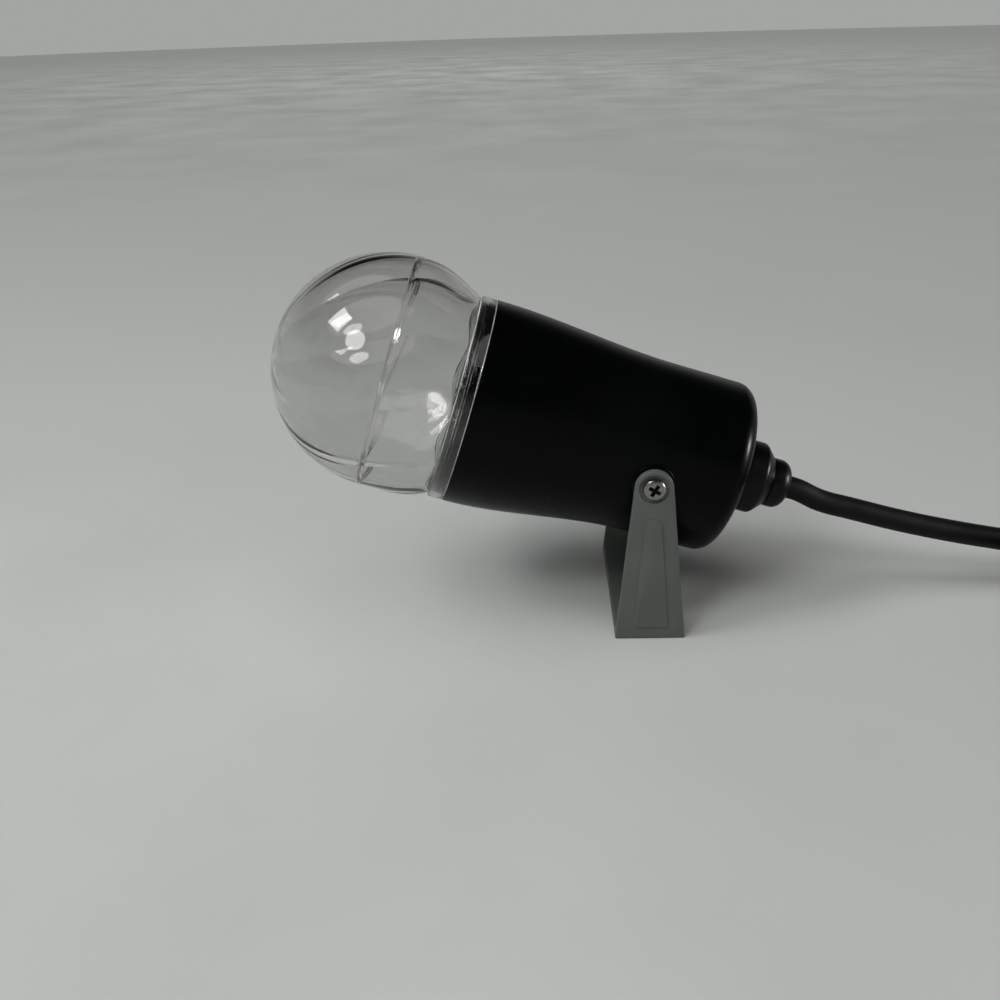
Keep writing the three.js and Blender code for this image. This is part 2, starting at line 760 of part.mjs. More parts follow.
// Light engine: a white board with four coloured emitters under one four-cup lens
function makeLedBoard() {
  const cuts = [rod(centreHole, heatSinkFront - overrun, boardFront + overrun)];
  for (const way of [-1, 1]) {
    cuts.push(rod(smallShank + clearance, heatSinkFront - overrun, boardFront + overrun)
      .translate(way * boardScrewCircle, 0, 0));
  }
  return shape([rod(ledBoardRadius, heatSinkFront + clearance, boardFront, medium)], cuts);
}

add(head, 'led_board', makeLedBoard(), circuit);
[-1, 1].forEach((way, i) => {
  const fastener = screw(smallShank, smallHead, smallHeadHeight, heatSinkBase);
  fastener.translate(way * boardScrewCircle, 0, boardFront + clearance);
  add(head, `led_board_screw_${i + 1}`, fastener, steel);
});

const ledAngles = [45, 135, 225, 315].map(THREE.MathUtils.degToRad);
const ledSeat = boardFront + clearance;
const ledDome = ledRadius * ledDomeShare;
const emitters = { red: 0xd8453c, green: 0x46b45a, blue: 0x3f63d0, white: 0xefe9c8 };
Object.entries(emitters).forEach(([name, color], i) => {
  const angle = ledAngles[i];
  const dome = revolve([
    [0, ledSeat],
    [ledRadius, ledSeat],
    [ledRadius, ledSeat + ledBase],
    ...arc(0, ledSeat + ledBase, ledDome, 0, Math.PI / 2, 3).slice(0, -1),
    [0, ledSeat + ledBase + ledDome],
  ], coarse).translate(ledCircle * Math.cos(angle), ledCircle * Math.sin(angle), 0);
  add(head, `led_${name}`, dome, { color, roughness: 0.3, metalness: 0 });
});

function makeCollimator() {
  const front = boardFront + clearance + ledBase + collimatorLength + ledRadius;
  const cup = (angle) => revolve([
    [0, front - collimatorLength],
    [collimatorThroat, front - collimatorLength],
    [collimatorMouth, front - collimatorFlange],
    [collimatorMouth, front - collimatorFlange / 2],
    [0, front - collimatorFlange / 2],
  ], coarse).translate(ledCircle * Math.cos(angle), ledCircle * Math.sin(angle), 0);
  const legs = legAngles.map((angle) => rod(collimatorLeg, boardFront + clearance,
    front - collimatorFlange / 2, slight)
    .translate(boardScrewCircle * Math.cos(angle), -boardScrewCircle * Math.sin(angle), 0));
  const plate = rod(collimatorRadius, front - collimatorFlange, front, medium);
  const bore = rod(hubRadius + clearance, front - collimatorLength, front + overrun);
  return shape([plate, ...ledAngles.map(cup), ...legs], [bore]);
}

add(head, 'collimator', makeCollimator(), clear);

// Chassis tray: slides in on the housing's rails, the transformer under it and the driver board over it
const trayTop = trayLevel + trayThickness;
const boardLevel = trayTop + pillarHeight + clearance;
const boardRear = trayRear + pillarInset / 2;
const coreTop = trayLevel - clearance;
const coreFront = coreRear + coreLength;
const windowHalf = coreHalfWidth - coreLimb;

function makeTray() {
  const joined = [block([trayLevel, -trayHalfWidth, trayRear], [trayTop, trayHalfWidth, trayFront])];
  for (const place of [boardRear + pillarInset, boardRear + driverLength - pillarInset]) {
    for (const way of [-1, 1]) {
      joined.push(rod(pillarRadius, trayTop - sink, trayTop + pillarHeight, slight)
        .rotateY(Math.PI / 2)
        .translate(0, way * (driverHalfWidth - pillarInset), place));
    }
  }
  const cuts = [-1, 1].map((way) => rod(smallShank + clearance, trayLevel - overrun, trayTop + overrun)
    .rotateY(Math.PI / 2)
    .translate(0, way * (railInner + smallHead), trayRear + pillarInset));
  cuts.push(block(
    [trayLevel - overrun, -windowHalf, coreRear + coreLimb],
    [trayTop + overrun, windowHalf, coreFront - coreLimb]));
  return shape(joined, cuts);
}

add(head, 'chassis_tray', makeTray(), aluminium);
[-1, 1].forEach((way, i) => {
  const fastener = screw(smallShank, smallHead, smallHeadHeight, trayThickness + clearance / 2);
  fastener.rotateY(Math.PI / 2)
    .translate(trayTop + clearance, way * (railInner + smallHead), trayRear + pillarInset);
  add(head, `tray_screw_${i + 1}`, fastener, steel);
});

function makeCore() {
  const frame = block(
    [coreTop - coreHeight, -coreHalfWidth, coreRear],
    [coreTop, coreHalfWidth, coreFront]);
  const opening = (from, to) => block(
    [coreTop - coreHeight - overrun, from, coreRear + coreLimb],
    [coreTop + overrun, to, coreFront - coreLimb]);
  return shape([frame], [opening(-windowHalf, -coreLimb), opening(coreLimb, windowHalf)]);
}

function makeWinding() {
  const bobbin = block(
    [coreTop - coreHeight - windingOverhang, -windowHalf + clearance, coreRear + coreLimb + clearance],
    [coreTop + windingOverhang, windowHalf - clearance, coreFront - coreLimb - clearance]);
  const leg = block(
    [coreTop - coreHeight - clearance, -coreLimb - clearance, coreRear - overrun],
    [coreTop + clearance, coreLimb + clearance, coreFront + overrun]);
  return shape([bobbin], [leg]);
}

add(head, 'transformer_core', makeCore(), steel);
add(head, 'transformer_winding', makeWinding(), copper);

const boardTop = boardLevel + boardThickness;
const boardSeat = boardTop + clearance;
const boardEnd = boardRear + driverLength;
add(head, 'driver_board', block(
  [boardLevel, -driverHalfWidth, boardRear],
  [boardTop, driverHalfWidth, boardEnd]), fibre);
add(head, 'capacitor', rod(capacitorRadius, boardSeat, boardSeat + capacitorHeight, plain)
  .rotateY(Math.PI / 2)
  .translate(0, -componentSpacing / 2, boardEnd - 3 * capacitorRadius / 2), softBlack);
add(head, 'choke', ring(chokeRadius / 3, chokeRadius, boardSeat, boardSeat + chokeHeight, plain)
  .rotateY(Math.PI / 2)
  .translate(0, componentSpacing / 2, boardEnd - 3 * chokeRadius / 2), copper);
add(head, 'terminal_block', block(
  [boardSeat, -terminalWidth / 2, boardRear + pillarInset],
  [boardSeat + terminalHeight, terminalWidth / 2, boardRear + pillarInset + terminalLength]), circuit);

// Cable gland: a flanged body through the rear wall, its locknut inside, a seal and a domed nut
const cordBore = cordRadius + clearance;
const sealRadius = cordBore + glandSealWall;
const threadEnd = glandRear + glandThreadLength;

function makeGlandBody() {
  return revolve([
    [cordBore, threadEnd],
    [glandThreadRadius, threadEnd],
    [glandThreadRadius, glandRear],
    [glandFlangeRadius, glandRear],
    ...arc(glandFlangeRadius - glandFlangeRound, glandRear - glandFlangeLength + glandFlangeRound,
      glandFlangeRound, 0, -Math.PI / 2, 3),
    [glandShoulder, glandShoulderPlace],
    [sealRadius + clearance, glandShoulderPlace],
    [sealRadius + clearance, glandRear - clearance],
    [cordBore, glandRear - clearance],
    [cordBore, threadEnd],
  ], medium);
}

function makeGlandNut() {
  const nutRear = glandShoulderPlace - clearance;
  return revolve([
    [sealRadius + clearance, nutRear],
    [glandNutRadius, nutRear],
    ...arc(glandNutRadius - glandNutRound, glandExit + glandNutRound, glandNutRound, 0, -Math.PI / 2, 5),
    [glandNutMouth - clearance, glandExit],
    [glandNutMouth - clearance, glandExit + glandNutRound],
    [sealRadius + clearance, glandExit + glandNutRound],
    [sealRadius + clearance, nutRear],
  ], medium);
}

const sealRear = glandExit + glandNutRound + clearance;
const locknutRear = housingRear + rearWall + clearance;
const glandPieces = {
  gland_body: makeGlandBody(),
  gland_nut: makeGlandNut(),
  gland_seal: ring(cordBore, sealRadius, sealRear, sealRear + glandSealLength, plain),
  gland_locknut: nut(glandThreadRadius + clearance, locknutRadius, locknutRear,
    locknutRear + locknutLength),
  cord_inner: rod(cordRadius, glandExit, glandExit + cordInnerLength, plain),
};
Object.entries(glandPieces).forEach(([name, geometry]) => {
  add(head, name, geometry.translate(barrelRise, 0, 0), softBlack);
});

// Wires from the lead's end to the terminal block, and one pair from the board to the emitters
function wire(points, radius, sides, steps) {
  const section = new THREE.Shape();
  section.absarc(0, 0, radius, 0, 2 * Math.PI, false);
  const middle = points.map((point) => new THREE.Vector3(...point));
  const extrudePath = new THREE.CatmullRomCurve3(middle, false, 'centripetal');
  return new THREE.ExtrudeGeometry(section,
    { steps, curveSegments: sides, bevelEnabled: false, extrudePath });
}

const jacketEnd = glandExit + cordInnerLength;
const wires = { lead_line: 0x6b3f22, lead_neutral: 0x2b57a4, lead_earth: 0x5d8a2a };
Object.entries(wires).forEach(([name, color], i) => {
  const side = (i - 1) * terminalWidth / 3;
  const start = (i - 1) * wirePitchShare * wireRadius;
  const end = [boardSeat + terminalHeight / 2, side, boardRear + pillarInset - clearance];
  const points = [
    [barrelRise, start, jacketEnd + clearance],
    [barrelRise, start, jacketEnd + wireRadius],
    [barrelRise + 2 * wireRadius, start, jacketEnd + 3 * wireRadius],
    [end[0] - 3 * wireRadius, side, trayRear - 2 * wireRadius],
    [end[0], side, trayRear + wireRadius],
    end,
  ];
  add(head, name, wire(points, wireRadius, sixSided, slight), { color, roughness: 0.5, metalness: 0 });
});

// Pivots: a screw, a friction washer and a threaded insert on each side
[['near', -1], ['far', 1]].forEach(([side, way]) => {
  const turn = (geometry) => geometry.rotateX(-way * Math.PI / 2);
  const seat = bracketSpan / 2 - dishDepth + clearance / 2;
  const cross = block([-pivotHeadRadius * crossShare, -crossWidth / 2, pivotHeadHeight - crossDepth],
    [pivotHeadRadius * crossShare, crossWidth / 2, pivotHeadHeight + overrun]);
  const pan = shape([screw(pivotShankRadius, pivotHeadRadius, pivotHeadHeight, pivotShankLength)],
    [cross, cross.clone().rotateZ(Math.PI / 2)]);
  add(head, `pivot_screw_${side}`, turn(pan.translate(0, 0, seat)), nickel);
  add(head, `pivot_washer_${side}`, turn(ring(pivotShankRadius + clearance, washerRadius,
    padFace + clearance / 2, padFace + clearance / 2 + washerThickness, medium)), softBlack);
  add(head, `pivot_insert_${side}`, turn(ring(pivotShankRadius + clearance, insertRadius,
    padFace - sink - insertLength, padFace - sink, coarse)), brass);
});

// Lead: the free stretch from the gland, its points chosen along the real one's line
const coilFloor = tieWall + clearance + cordRadius;
const coilTop = coilFloor + layerPitch;
const along = (place, up = 0) => [
  -place * Math.cos(headTilt) + up * Math.sin(headTilt),
  0,
  pivotHeight + place * Math.sin(headTilt) + up * Math.cos(headTilt),
];

function coilPoint(turn) {
  const middle = upperTurns + reversingTurns / 2;
  const away = turn - middle;
  const radius = coilInner + turnPitch * Math.abs(away);
  const angle = coilStartAngle - 2 * Math.PI * turn;
  const fall = THREE.MathUtils.smoothstep(away, -reversingTurns / 2, reversingTurns / 2);
  return new THREE.Vector3(
    coilCentre[0] + radius * Math.cos(angle),
    coilCentre[1] + radius * Math.sin(angle),
    coilTop - layerPitch * fall,
  );
}

// The coil's centre line, straight for one diameter at each end
function coilLine() {
  const turns = upperTurns + reversingTurns + lowerTurns;
  const steps = Math.round(turns * stepsPerTurn);
  const points = Array.from({ length: steps + 1 }, (_, i) => coilPoint((turns * i) / steps));
  const level = (from, to) => to.clone().sub(from).setZ(0).setLength(2 * cordRadius);
  const first = points[0].clone().sub(level(points[0], points[1]));
  const last = points[steps].clone().add(level(points[steps - 1], points[steps]));
  return [first, ...points, last];
}

// A tube along level points, with a level ring of corners square to the line at each of them
function levelTube(line, radius, sides) {
  const places = [];
  const rings = line.map((point, i) => {
    const before = line[Math.max(i - 1, 0)];
    const after = line[Math.min(i + 1, line.length - 1)];
    const ahead = after.clone().sub(before).normalize();
    const side = new THREE.Vector3(-ahead.y, ahead.x, 0).normalize();
    const over = ahead.clone().cross(side);
    return Array.from({ length: sides }, (_, k) => {
      const angle = (2 * Math.PI * k) / sides;
      return point.clone()
        .addScaledVector(side, radius * Math.cos(angle))
        .addScaledVector(over, radius * Math.sin(angle));
    });
  });
  const face = (...corners) => corners.forEach((corner) => places.push(...corner.toArray()));
  for (let i = 0; i + 1 < rings.length; i += 1) {
    for (let k = 0; k < sides; k += 1) {
      const next = (k + 1) % sides;
      face(rings[i][k], rings[i][next], rings[i + 1][next]);
      face(rings[i][k], rings[i + 1][next], rings[i + 1][k]);
    }
  }
  for (let k = 1; k + 1 < sides; k += 1) {
    face(rings[0][0], rings[0][k + 1], rings[0][k]);
    const end = rings[rings.length - 1];
    face(end[0], end[k], end[k + 1]);
  }
  const geometry = new THREE.BufferGeometry();
  geometry.setAttribute('position', new THREE.Float32BufferAttribute(places, 3));
  return geometry;
}

const coil = coilLine();
add(model, 'cord_coil', levelTube(coil, cordRadius, coilSides), softBlack);

// The least gap between stretches of the coil that lie half a turn or more apart, and its length
let leastGap = Infinity;
let coilLength = 0;
coil.forEach((point, i) => {
  if (i > 0) coilLength += point.distanceTo(coil[i - 1]);
  for (let k = i + stepsPerTurn / 2; k < coil.length; k += 1) {
    leastGap = Math.min(leastGap, point.distanceTo(coil[k]) - 2 * cordRadius);
  }
});
console.log(`coil: least gap ${leastGap.toFixed(2)} mm, length ${coilLength.toFixed(0)} mm`);

const startHeading = coil[1].clone().sub(coil[0]).normalize();
const endHeading = coil[coil.length - 1].clone().sub(coil[coil.length - 2]).normalize();
const cordEnd = coil[0].clone().addScaledVector(startHeading, -clearance);
const tailStart = coil[coil.length - 1].clone().addScaledVector(endHeading, clearance);
const cordPoints = [
  along(glandExit - clearance, barrelRise),
  along(glandExit - clearance - cordRadius, barrelRise),
  [66.2, 0, 37.5],
  [77.8, 0, 34],
  [97.1, 0, 28.5],
  [116.4, 0, 23.9],
  [135, 0, 20.2],
  [147.5, 1.1, 17.4],
  cordEnd.clone().addScaledVector(startHeading, -cordRadius).toArray(),
  cordEnd.toArray(),
];
add(model, 'cord', wire(cordPoints, cordRadius, 10, 10), softBlack);

// The last stretch of the lead, up over the coil's edge to the plug that lies on it
const plugStart = [179.5, -11.2, plugLevel];
const plugAhead = [Math.cos(plugHeading), Math.sin(plugHeading)];
const reliefBack = (distance) => [
  plugStart[0] - plugAhead[0] * distance,
  plugStart[1] - plugAhead[1] * distance,
  plugLevel,
];
const tailPoints = [
  tailStart.toArray(),
  tailStart.clone().addScaledVector(endHeading, cordRadius).toArray(),
  [160.3, -78.9, 5.6],
  [147.4, -69.4, 6.4],
  [140.2, -56.3, 8.4],
  [139.8, -41.8, 13],
  [145, -28.4, 19.4],
  [153.4, -18.9, 25],
  [162.2, -13.3, 28.9],
  reliefBack(2 * cordRadius),
  reliefBack(clearance),
];
add(model, 'cord_tail', wire(tailPoints, cordRadius, 10, 12), softBlack);

// Tie: a band round the bundle of turns
function makeTie() {
  const reach = (turnsFrom) => {
    const turn = (coilStartAngle - tieAngle) / (2 * Math.PI) + turnsFrom;
    return Math.hypot(coilPoint(turn).x - coilCentre[0], coilPoint(turn).y - coilCentre[1]);
  };
  const spare = cordRadius + tieClearance;
  const inner = reach(2) - spare;
  const lowerOuter = reach(4) + spare;
  const upperOuter = reach(0) + spare;
  const upperInner = reach(1) - spare;
  const outline = (grow) => {
    const band = new THREE.Shape();
    band.moveTo(inner - grow, tieWall - grow);
    band.lineTo(lowerOuter + grow, tieWall - grow);
    band.lineTo(lowerOuter + grow, coilFloor + cordRadius + grow);
    band.lineTo(upperOuter + grow, coilTop + spare + grow);
    band.lineTo(upperInner - grow, coilTop + spare + grow);
    band.lineTo(inner - grow, coilFloor + cordRadius + grow);
    band.closePath();
    return band;
  };
  const band = outline(tieWall);
  band.holes.push(outline(0));
  return new THREE.ExtrudeGeometry(band, { depth: tieWidth, bevelEnabled: false })
    .translate(0, 0, -tieWidth / 2)
    .rotateX(Math.PI / 2)
    .rotateZ(tieAngle)
    .translate(coilCentre[0], coilCentre[1], 0);
}

add(model, 'coil_tie', makeTie(), softBlack);

// Plug: a moulded body, two flat blades and an earth pin, along its own X axis
const plug = new THREE.Group();
plug.position.set(...plugStart);
plug.rotation.z = plugHeading;
model.add(plug);

// A closed skin over rounded rectangles, each [place, half width, half height, corner]
function loft(sections, cornerSteps) {
  const places = [];
  const rings = sections.map(([place, width, height, corner]) => {
    const points = [];
    [[1, 1, 0], [-1, 1, 1], [-1, -1, 2], [1, -1, 3]].forEach(([sideways, upwards, quarter]) => {
      for (let i = 0; i <= cornerSteps; i += 1) {
        const angle = (Math.PI / 2) * (quarter + i / cornerSteps);
        points.push([
          place,
          sideways * (width - corner) + corner * Math.cos(angle),
          upwards * (height - corner) + corner * Math.sin(angle),
        ]);
      }
    });
    return points;
  });
  const face = (...corners) => corners.forEach((corner) => places.push(...corner));
  const count = rings[0].length;
  for (let i = 0; i + 1 < rings.length; i += 1) {
    for (let k = 0; k < count; k += 1) {
      const next = (k + 1) % count;
      face(rings[i][k], rings[i][next], rings[i + 1][next]);
      face(rings[i][k], rings[i + 1][next], rings[i + 1][k]);
    }
  }
  for (let k = 1; k + 1 < count; k += 1) {
    face(rings[0][0], rings[0][k + 1], rings[0][k]);
    const end = rings[rings.length - 1];
    face(end[0], end[k], end[k + 1]);
  }
  const geometry = new THREE.BufferGeometry();
  geometry.setAttribute('position', new THREE.Float32BufferAttribute(places, 3));
  return geometry;
}

const plugFace = reliefLength + plugBodyLength;
add(plug, 'plug_body', loft([
  [0, reliefRadius - clearance, reliefRadius - clearance, reliefRadius - 2 * clearance],
  [reliefLength, reliefRadius + clearance, reliefRadius + clearance, reliefRadius],
  [plugFace - plugGrip - plugCorner, plugHalfWidth - plugCorner, plugHalfHeight - plugCorner / 2,
    plugCorner],
  [plugFace - plugGrip, plugHalfWidth, plugHalfHeight, plugCorner],
  [plugFace, plugHalfWidth, plugHalfHeight, plugCorner],
], 3), softBlack);
const bladeStart = plugFace + clearance;
[-1, 1].forEach((way, i) => {
  const middle = way * bladeSpacing / 2;
  add(plug, `plug_blade_${i + 1}`, block(
    [bladeStart, middle - bladeThickness / 2, bladeRise - bladeWidth / 2],
    [bladeStart + bladeLength, middle + bladeThickness / 2, bladeRise + bladeWidth / 2]), brass);
});
add(plug, 'plug_earth_pin', rod(groundPinRadius, bladeStart, bladeStart + groundPinLength, coarse)
  .rotateY(Math.PI / 2)
  .translate(0, 0, -groundPinDrop), brass);

export default model;
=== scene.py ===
import json
import math

import bmesh
import bpy
from bpy.props import FloatProperty, FloatVectorProperty, IntProperty, PointerProperty
from mathutils import Matrix, Vector


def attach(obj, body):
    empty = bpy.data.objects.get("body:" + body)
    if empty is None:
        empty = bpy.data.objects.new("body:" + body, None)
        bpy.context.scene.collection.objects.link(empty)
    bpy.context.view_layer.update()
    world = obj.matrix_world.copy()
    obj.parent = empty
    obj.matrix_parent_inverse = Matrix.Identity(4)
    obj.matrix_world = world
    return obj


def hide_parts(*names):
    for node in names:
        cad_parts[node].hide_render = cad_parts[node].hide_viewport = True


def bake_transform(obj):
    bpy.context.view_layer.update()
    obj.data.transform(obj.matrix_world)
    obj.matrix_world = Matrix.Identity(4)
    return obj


bl_info = {
    "name": "Globe Party Light",
    "version": (1, 0, 0),
    "blender": (4, 5, 0),
    "location": "3D View > Sidebar > Party Light",
    "description": "Models a party light with its lobed globe, bracket, turning lens and mains lead",
    "category": "Object",
}

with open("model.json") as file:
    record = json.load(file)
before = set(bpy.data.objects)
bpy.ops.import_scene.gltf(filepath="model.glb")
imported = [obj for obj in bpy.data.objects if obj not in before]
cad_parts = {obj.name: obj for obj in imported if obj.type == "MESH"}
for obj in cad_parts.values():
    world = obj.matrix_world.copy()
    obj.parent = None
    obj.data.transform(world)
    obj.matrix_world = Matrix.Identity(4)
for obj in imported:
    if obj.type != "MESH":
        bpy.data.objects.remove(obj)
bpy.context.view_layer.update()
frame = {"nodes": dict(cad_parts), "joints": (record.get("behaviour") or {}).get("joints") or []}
NODES = frame["nodes"]
TILT_AXIS = Vector(frame["joints"][0]["pos_m"])

FULL_TURN = 2 * math.pi
RIGHT_ANGLE = math.pi / 2
SOFT_EDGE_ANGLE = math.radians(32)
LOBE_EDGE_ANGLE = math.radians(12)
LEAD_EDGE_ANGLE = math.radians(60)
FLAT_ANGLE = math.radians(0.3)  # faces that turn by less are made one
SIDES = (("near", -1), ("far", 1))
SKIN = 0.0001  # how far from a surface still counts as on it
OVERRUN = 0.001  # how far a cutter goes past what it cuts
WELD = 1e-6  # corners nearer than this are one
LUG_ANGLES = [math.radians(place) for place in (30, 150, 270)]


def length(name, description, default):
    return FloatProperty(name=name, description=description, default=default, unit="LENGTH",
                         precision=5)


def angle(name, description, degrees):
    return FloatProperty(name=name, description=description, default=math.radians(degrees),
                         unit="ROTATION")


def share(name, description, default):
    return FloatProperty(name=name, description=description, default=default, min=0, max=1,
                         subtype="FACTOR")


def count(name, description, default):
    return IntProperty(name=name, description=description, default=default, min=1)


def linear(value):
    """A channel written from 0 to 255 as a linear share"""
    part = value / 255
    return part / 12.92 if part <= 0.04045 else ((part + 0.055) / 1.055) ** 2.4


def hue(red, green, blue):
    """A colour written from 0 to 255, as a shader takes it"""
    return (linear(red), linear(green), linear(blue), 1)


def shade(tone, factor):
    """The colour made darker or lighter"""
    return tuple(min(1, channel * factor) for channel in tone[:3]) + (1,)


def colour(name, description, red, green, blue):
    return FloatVectorProperty(name=name, description=description, default=hue(red, green, blue),
                               size=4, min=0, max=1, subtype="COLOR")


class PARTYLIGHT_PG_head(bpy.types.PropertyGroup):
    tilt: angle("Tilt", "How far the globe's end is raised", 18)
    steps: count("Turning Steps", "Faces round each turned piece", 128)
    small_steps: count("Small Steps", "Faces round each small turned piece", 64)


class PARTYLIGHT_PG_housing(bpy.types.PropertyGroup):
    front: length("Front", "Mouth's place along the head's axis", 0.0674)
    rear: length("Rear", "Rear face's place along the head's axis", -0.0317)
    mouth_radius: length("Mouth Radius", "Outside radius at the mouth", 0.0374)
    waist_radius: length("Waist Radius", "Outside radius of the straight rear part", 0.03195)
    rise: length("Rise", "The barrel's middle line over the mouth's, from the pivots back", 0.0016)
    taper_rear: length("Taper Rear", "Where the widening starts", -0.0006)
    taper_front: length("Taper Front", "Where the widening ends", 0.0656)
    wall: length("Wall", "Moulded wall", 0.0024)
    rear_wall: length("Rear Wall", "Wall behind the works", 0.0026)
    rear_corner: length("Rear Corner", "Rounding of the rear end", 0.006)
    spigot_length: length("Spigot Length", "Neck that the ring slides over", 0.0027)
    spigot_radius: length("Spigot Radius", "Outside radius of that neck", 0.0357)
    bore: length("Bore", "Inside radius of that neck", 0.0333)
    pad_radius: length("Pad Radius", "Raised pad round each pivot", 0.0075)
    pad_face: length("Pad Face", "The pad's distance from the middle", 0.0324)
    boss_radius: length("Boss Radius", "Boss that holds the threaded insert", 0.0056)
    boss_length: length("Boss Length", "Boss from the pad inwards", 0.011)
    insert_radius: length("Insert Hole", "Hole for the threaded insert", 0.0038)
    gland_hole: length("Gland Hole", "Hole in the rear wall", 0.0099)
    boss_inset: length("Boss Inset", "How far the boss stays behind the pad's face", 0.0008)
    edge: length("Edge", "Rounding of the mouth, the neck and the pads", 0.0003)


class PARTYLIGHT_PG_ring(bpy.types.PropertyGroup):
    rear: length("Rear", "Rear edge's place", 0.0677)
    front: length("Front", "Front edge's place", 0.0730)
    skirt_inner: length("Skirt Inner", "Inside radius of the skirt", 0.036)
    lip_inner: length("Lip Inner", "Inside radius of the lip", 0.0352)
    lip: length("Lip", "Thickness of the lip", 0.0009)
    edge: length("Edge", "Rounding of the front edge", 0.0006)
    # Width of the ring's pale bands, painted highlights along its edges
    painted_highlight_width: length("Edge Line", "Satin edges that catch the light", 0.0003)
    lug_width: length("Lug Width", "Locating lug across", 0.0098)
    lug_depth: length("Lug Depth", "Locating lug inwards", 0.0013)
    lug_rear: length("Lug Place", "Lug's rear face", 0.0682)
    lug_length: length("Lug Length", "Locating lug along the axis", 0.001)
    lug_root: length("Lug Root", "How far a lug goes into the ring", 0.0004)
    lug_room: length("Lug Room", "Room round a lug in the housing's neck", 0.0003)
    notch_depth: length("Notch Depth", "Depth of the neck's notch for a lug", 0.0016)
    skirt_edge: length("Skirt Edge", "Rounding inside the skirt", 0.00015)
    fine_edge: length("Fine Edge", "Rounding of the rear edge and the lip", 0.0002)
    gasket_rear: length("Gasket Rear", "Rear face of the gasket", 0.0704)
    gasket_front: length("Gasket Front", "Front face of the gasket", 0.0709)
    gasket_width: length("Gasket Width", "Gasket across its band", 0.002)


class PARTYLIGHT_PG_globe(bpy.types.PropertyGroup):
    radius: length("Radius", "Outside radius", 0.042)
    rise: length("Rise", "The ball's middle over the mouth's", 0.0024)
    wall: length("Wall", "Shell thickness", 0.002)
    seam: length("Seam", "Place where the halves meet", 0.0973)
    band: length("Band", "Straight stretch behind the seam", 0.0033)
    neck_radius: length("Neck Radius", "Outside radius of the neck", 0.0349)
    neck_rear: length("Neck Rear", "Rear end of the neck", 0.0712)
    neck_length: length("Neck Length", "Neck up to the shoulder", 0.0021)
    flange: length("Flange", "Thickness of the neck's flange", 0.0006)
    tongue: length("Tongue", "Lap of the halves", 0.0012)
    bead: length("Bead", "Height of the seam's bead", 0.00025)
    bead_length: length("Bead Length", "Bead along the axis", 0.0007)
    gap: length("Gap", "Clearance between the halves", 0.0003)
    bead_edge: length("Bead Edge", "Rounding of the bead", 0.0001)
    petals: count("Petals", "Lobes moulded inside", 10)
    columns: count("Columns", "Faces across one lobe", 24)
    ridge: share("Ridge", "Height of the ridges between the lobes over the radius", 0.022)
    first_ridge: angle("First Ridge", "Where the first ridge meets the neck", -76.3)
    lean: angle("Lean", "Of the ridges from the neck to the front end", -81)
    ridge_start: length("Ridge Start", "How soon the ridges reach their height", 0.007)


class PARTYLIGHT_PG_bracket(bpy.types.PropertyGroup):
    span: length("Span", "Outside the arms", 0.0714)
    wall: length("Wall", "Sheet thickness", 0.0025)
    foot_width: length("Foot Width", "Foot along the light", 0.025)
    arch_radius: length("Arch Radius", "Rounding of the arm's top", 0.0067)
    fillet: length("Fillet", "Inside rounding of the bends", 0.003)
    edge: length("Edge", "Softness of the outer edges", 0.0005)
    panel_margin: length("Panel Margin", "From the arm's edge to the panel's foot", 0.0057)
    panel_top_margin: length("Panel Top Margin", "From the arm's edge to the panel's top", 0.0049)
    panel_corner: length("Panel Corner", "Rounding of the panel's lower corners", 0.0013)
    panel_height: length("Panel Height", "How far the panel stands out", 0.00055)
    panel_foot: length("Panel Foot", "Lower edge of the panel", 0.005)
    panel_top: length("Panel Top", "Upper end of the panel", 0.0476)
    dish_radius: length("Dish Radius", "Shallow dish round the screw", 0.00525)
    dish_depth: length("Dish Depth", "Depth of that dish", 0.0008)
    pivot_hole: length("Pivot Hole", "Radius of the pivot's hole", 0.0023)
    wall_hole: length("Wall Hole", "Radius of the fixing holes", 0.0023)
    wall_hole_spacing: length("Hole Spacing", "Between the fixing holes", 0.04)
    panel_root: length("Panel Root", "How far the panel goes into the arm", 0.0004)
    fine_edge: length("Fine Edge", "Softness of the panel, the dish and the holes", 0.00022)


class PARTYLIGHT_PG_pivot(bpy.types.PropertyGroup):
    shank_radius: length("Shank Radius", "Screw's shank", 0.002)
    shank_length: length("Shank Length", "Screw's length", 0.0125)
    head_radius: length("Head Radius", "Screw's pan head", 0.004)
    head_height: length("Head Height", "Height of the pan head", 0.0021)
    cross_depth: length("Cross Depth", "Depth of the driver's cross", 0.0018)
    cross_width: length("Cross Width", "Width of one slot of the cross", 0.0014)
    cross_turn: angle("Cross Turn", "How far the driver left the cross turned", -13)
    cross_reach: share("Cross Reach", "Half of a slot over the head's radius", 0.62)
    cross_edge: length("Cross Edge", "Softness of the cross", 0.00008)
    gap: length("Gap", "Room under the head and under the washer", 0.00015)
    foot_edge: length("Foot Edge", "Rounding under the head", 0.00015)
    tip_edge: length("Tip Edge", "Rounding of the shank's end", 0.0004)
    washer_radius: length("Washer Radius", "Friction washer", 0.006)
    washer: length("Washer", "Thickness of the washer", 0.0005)
    washer_edge: length("Washer Edge", "Rounding of the washer", 0.0001)


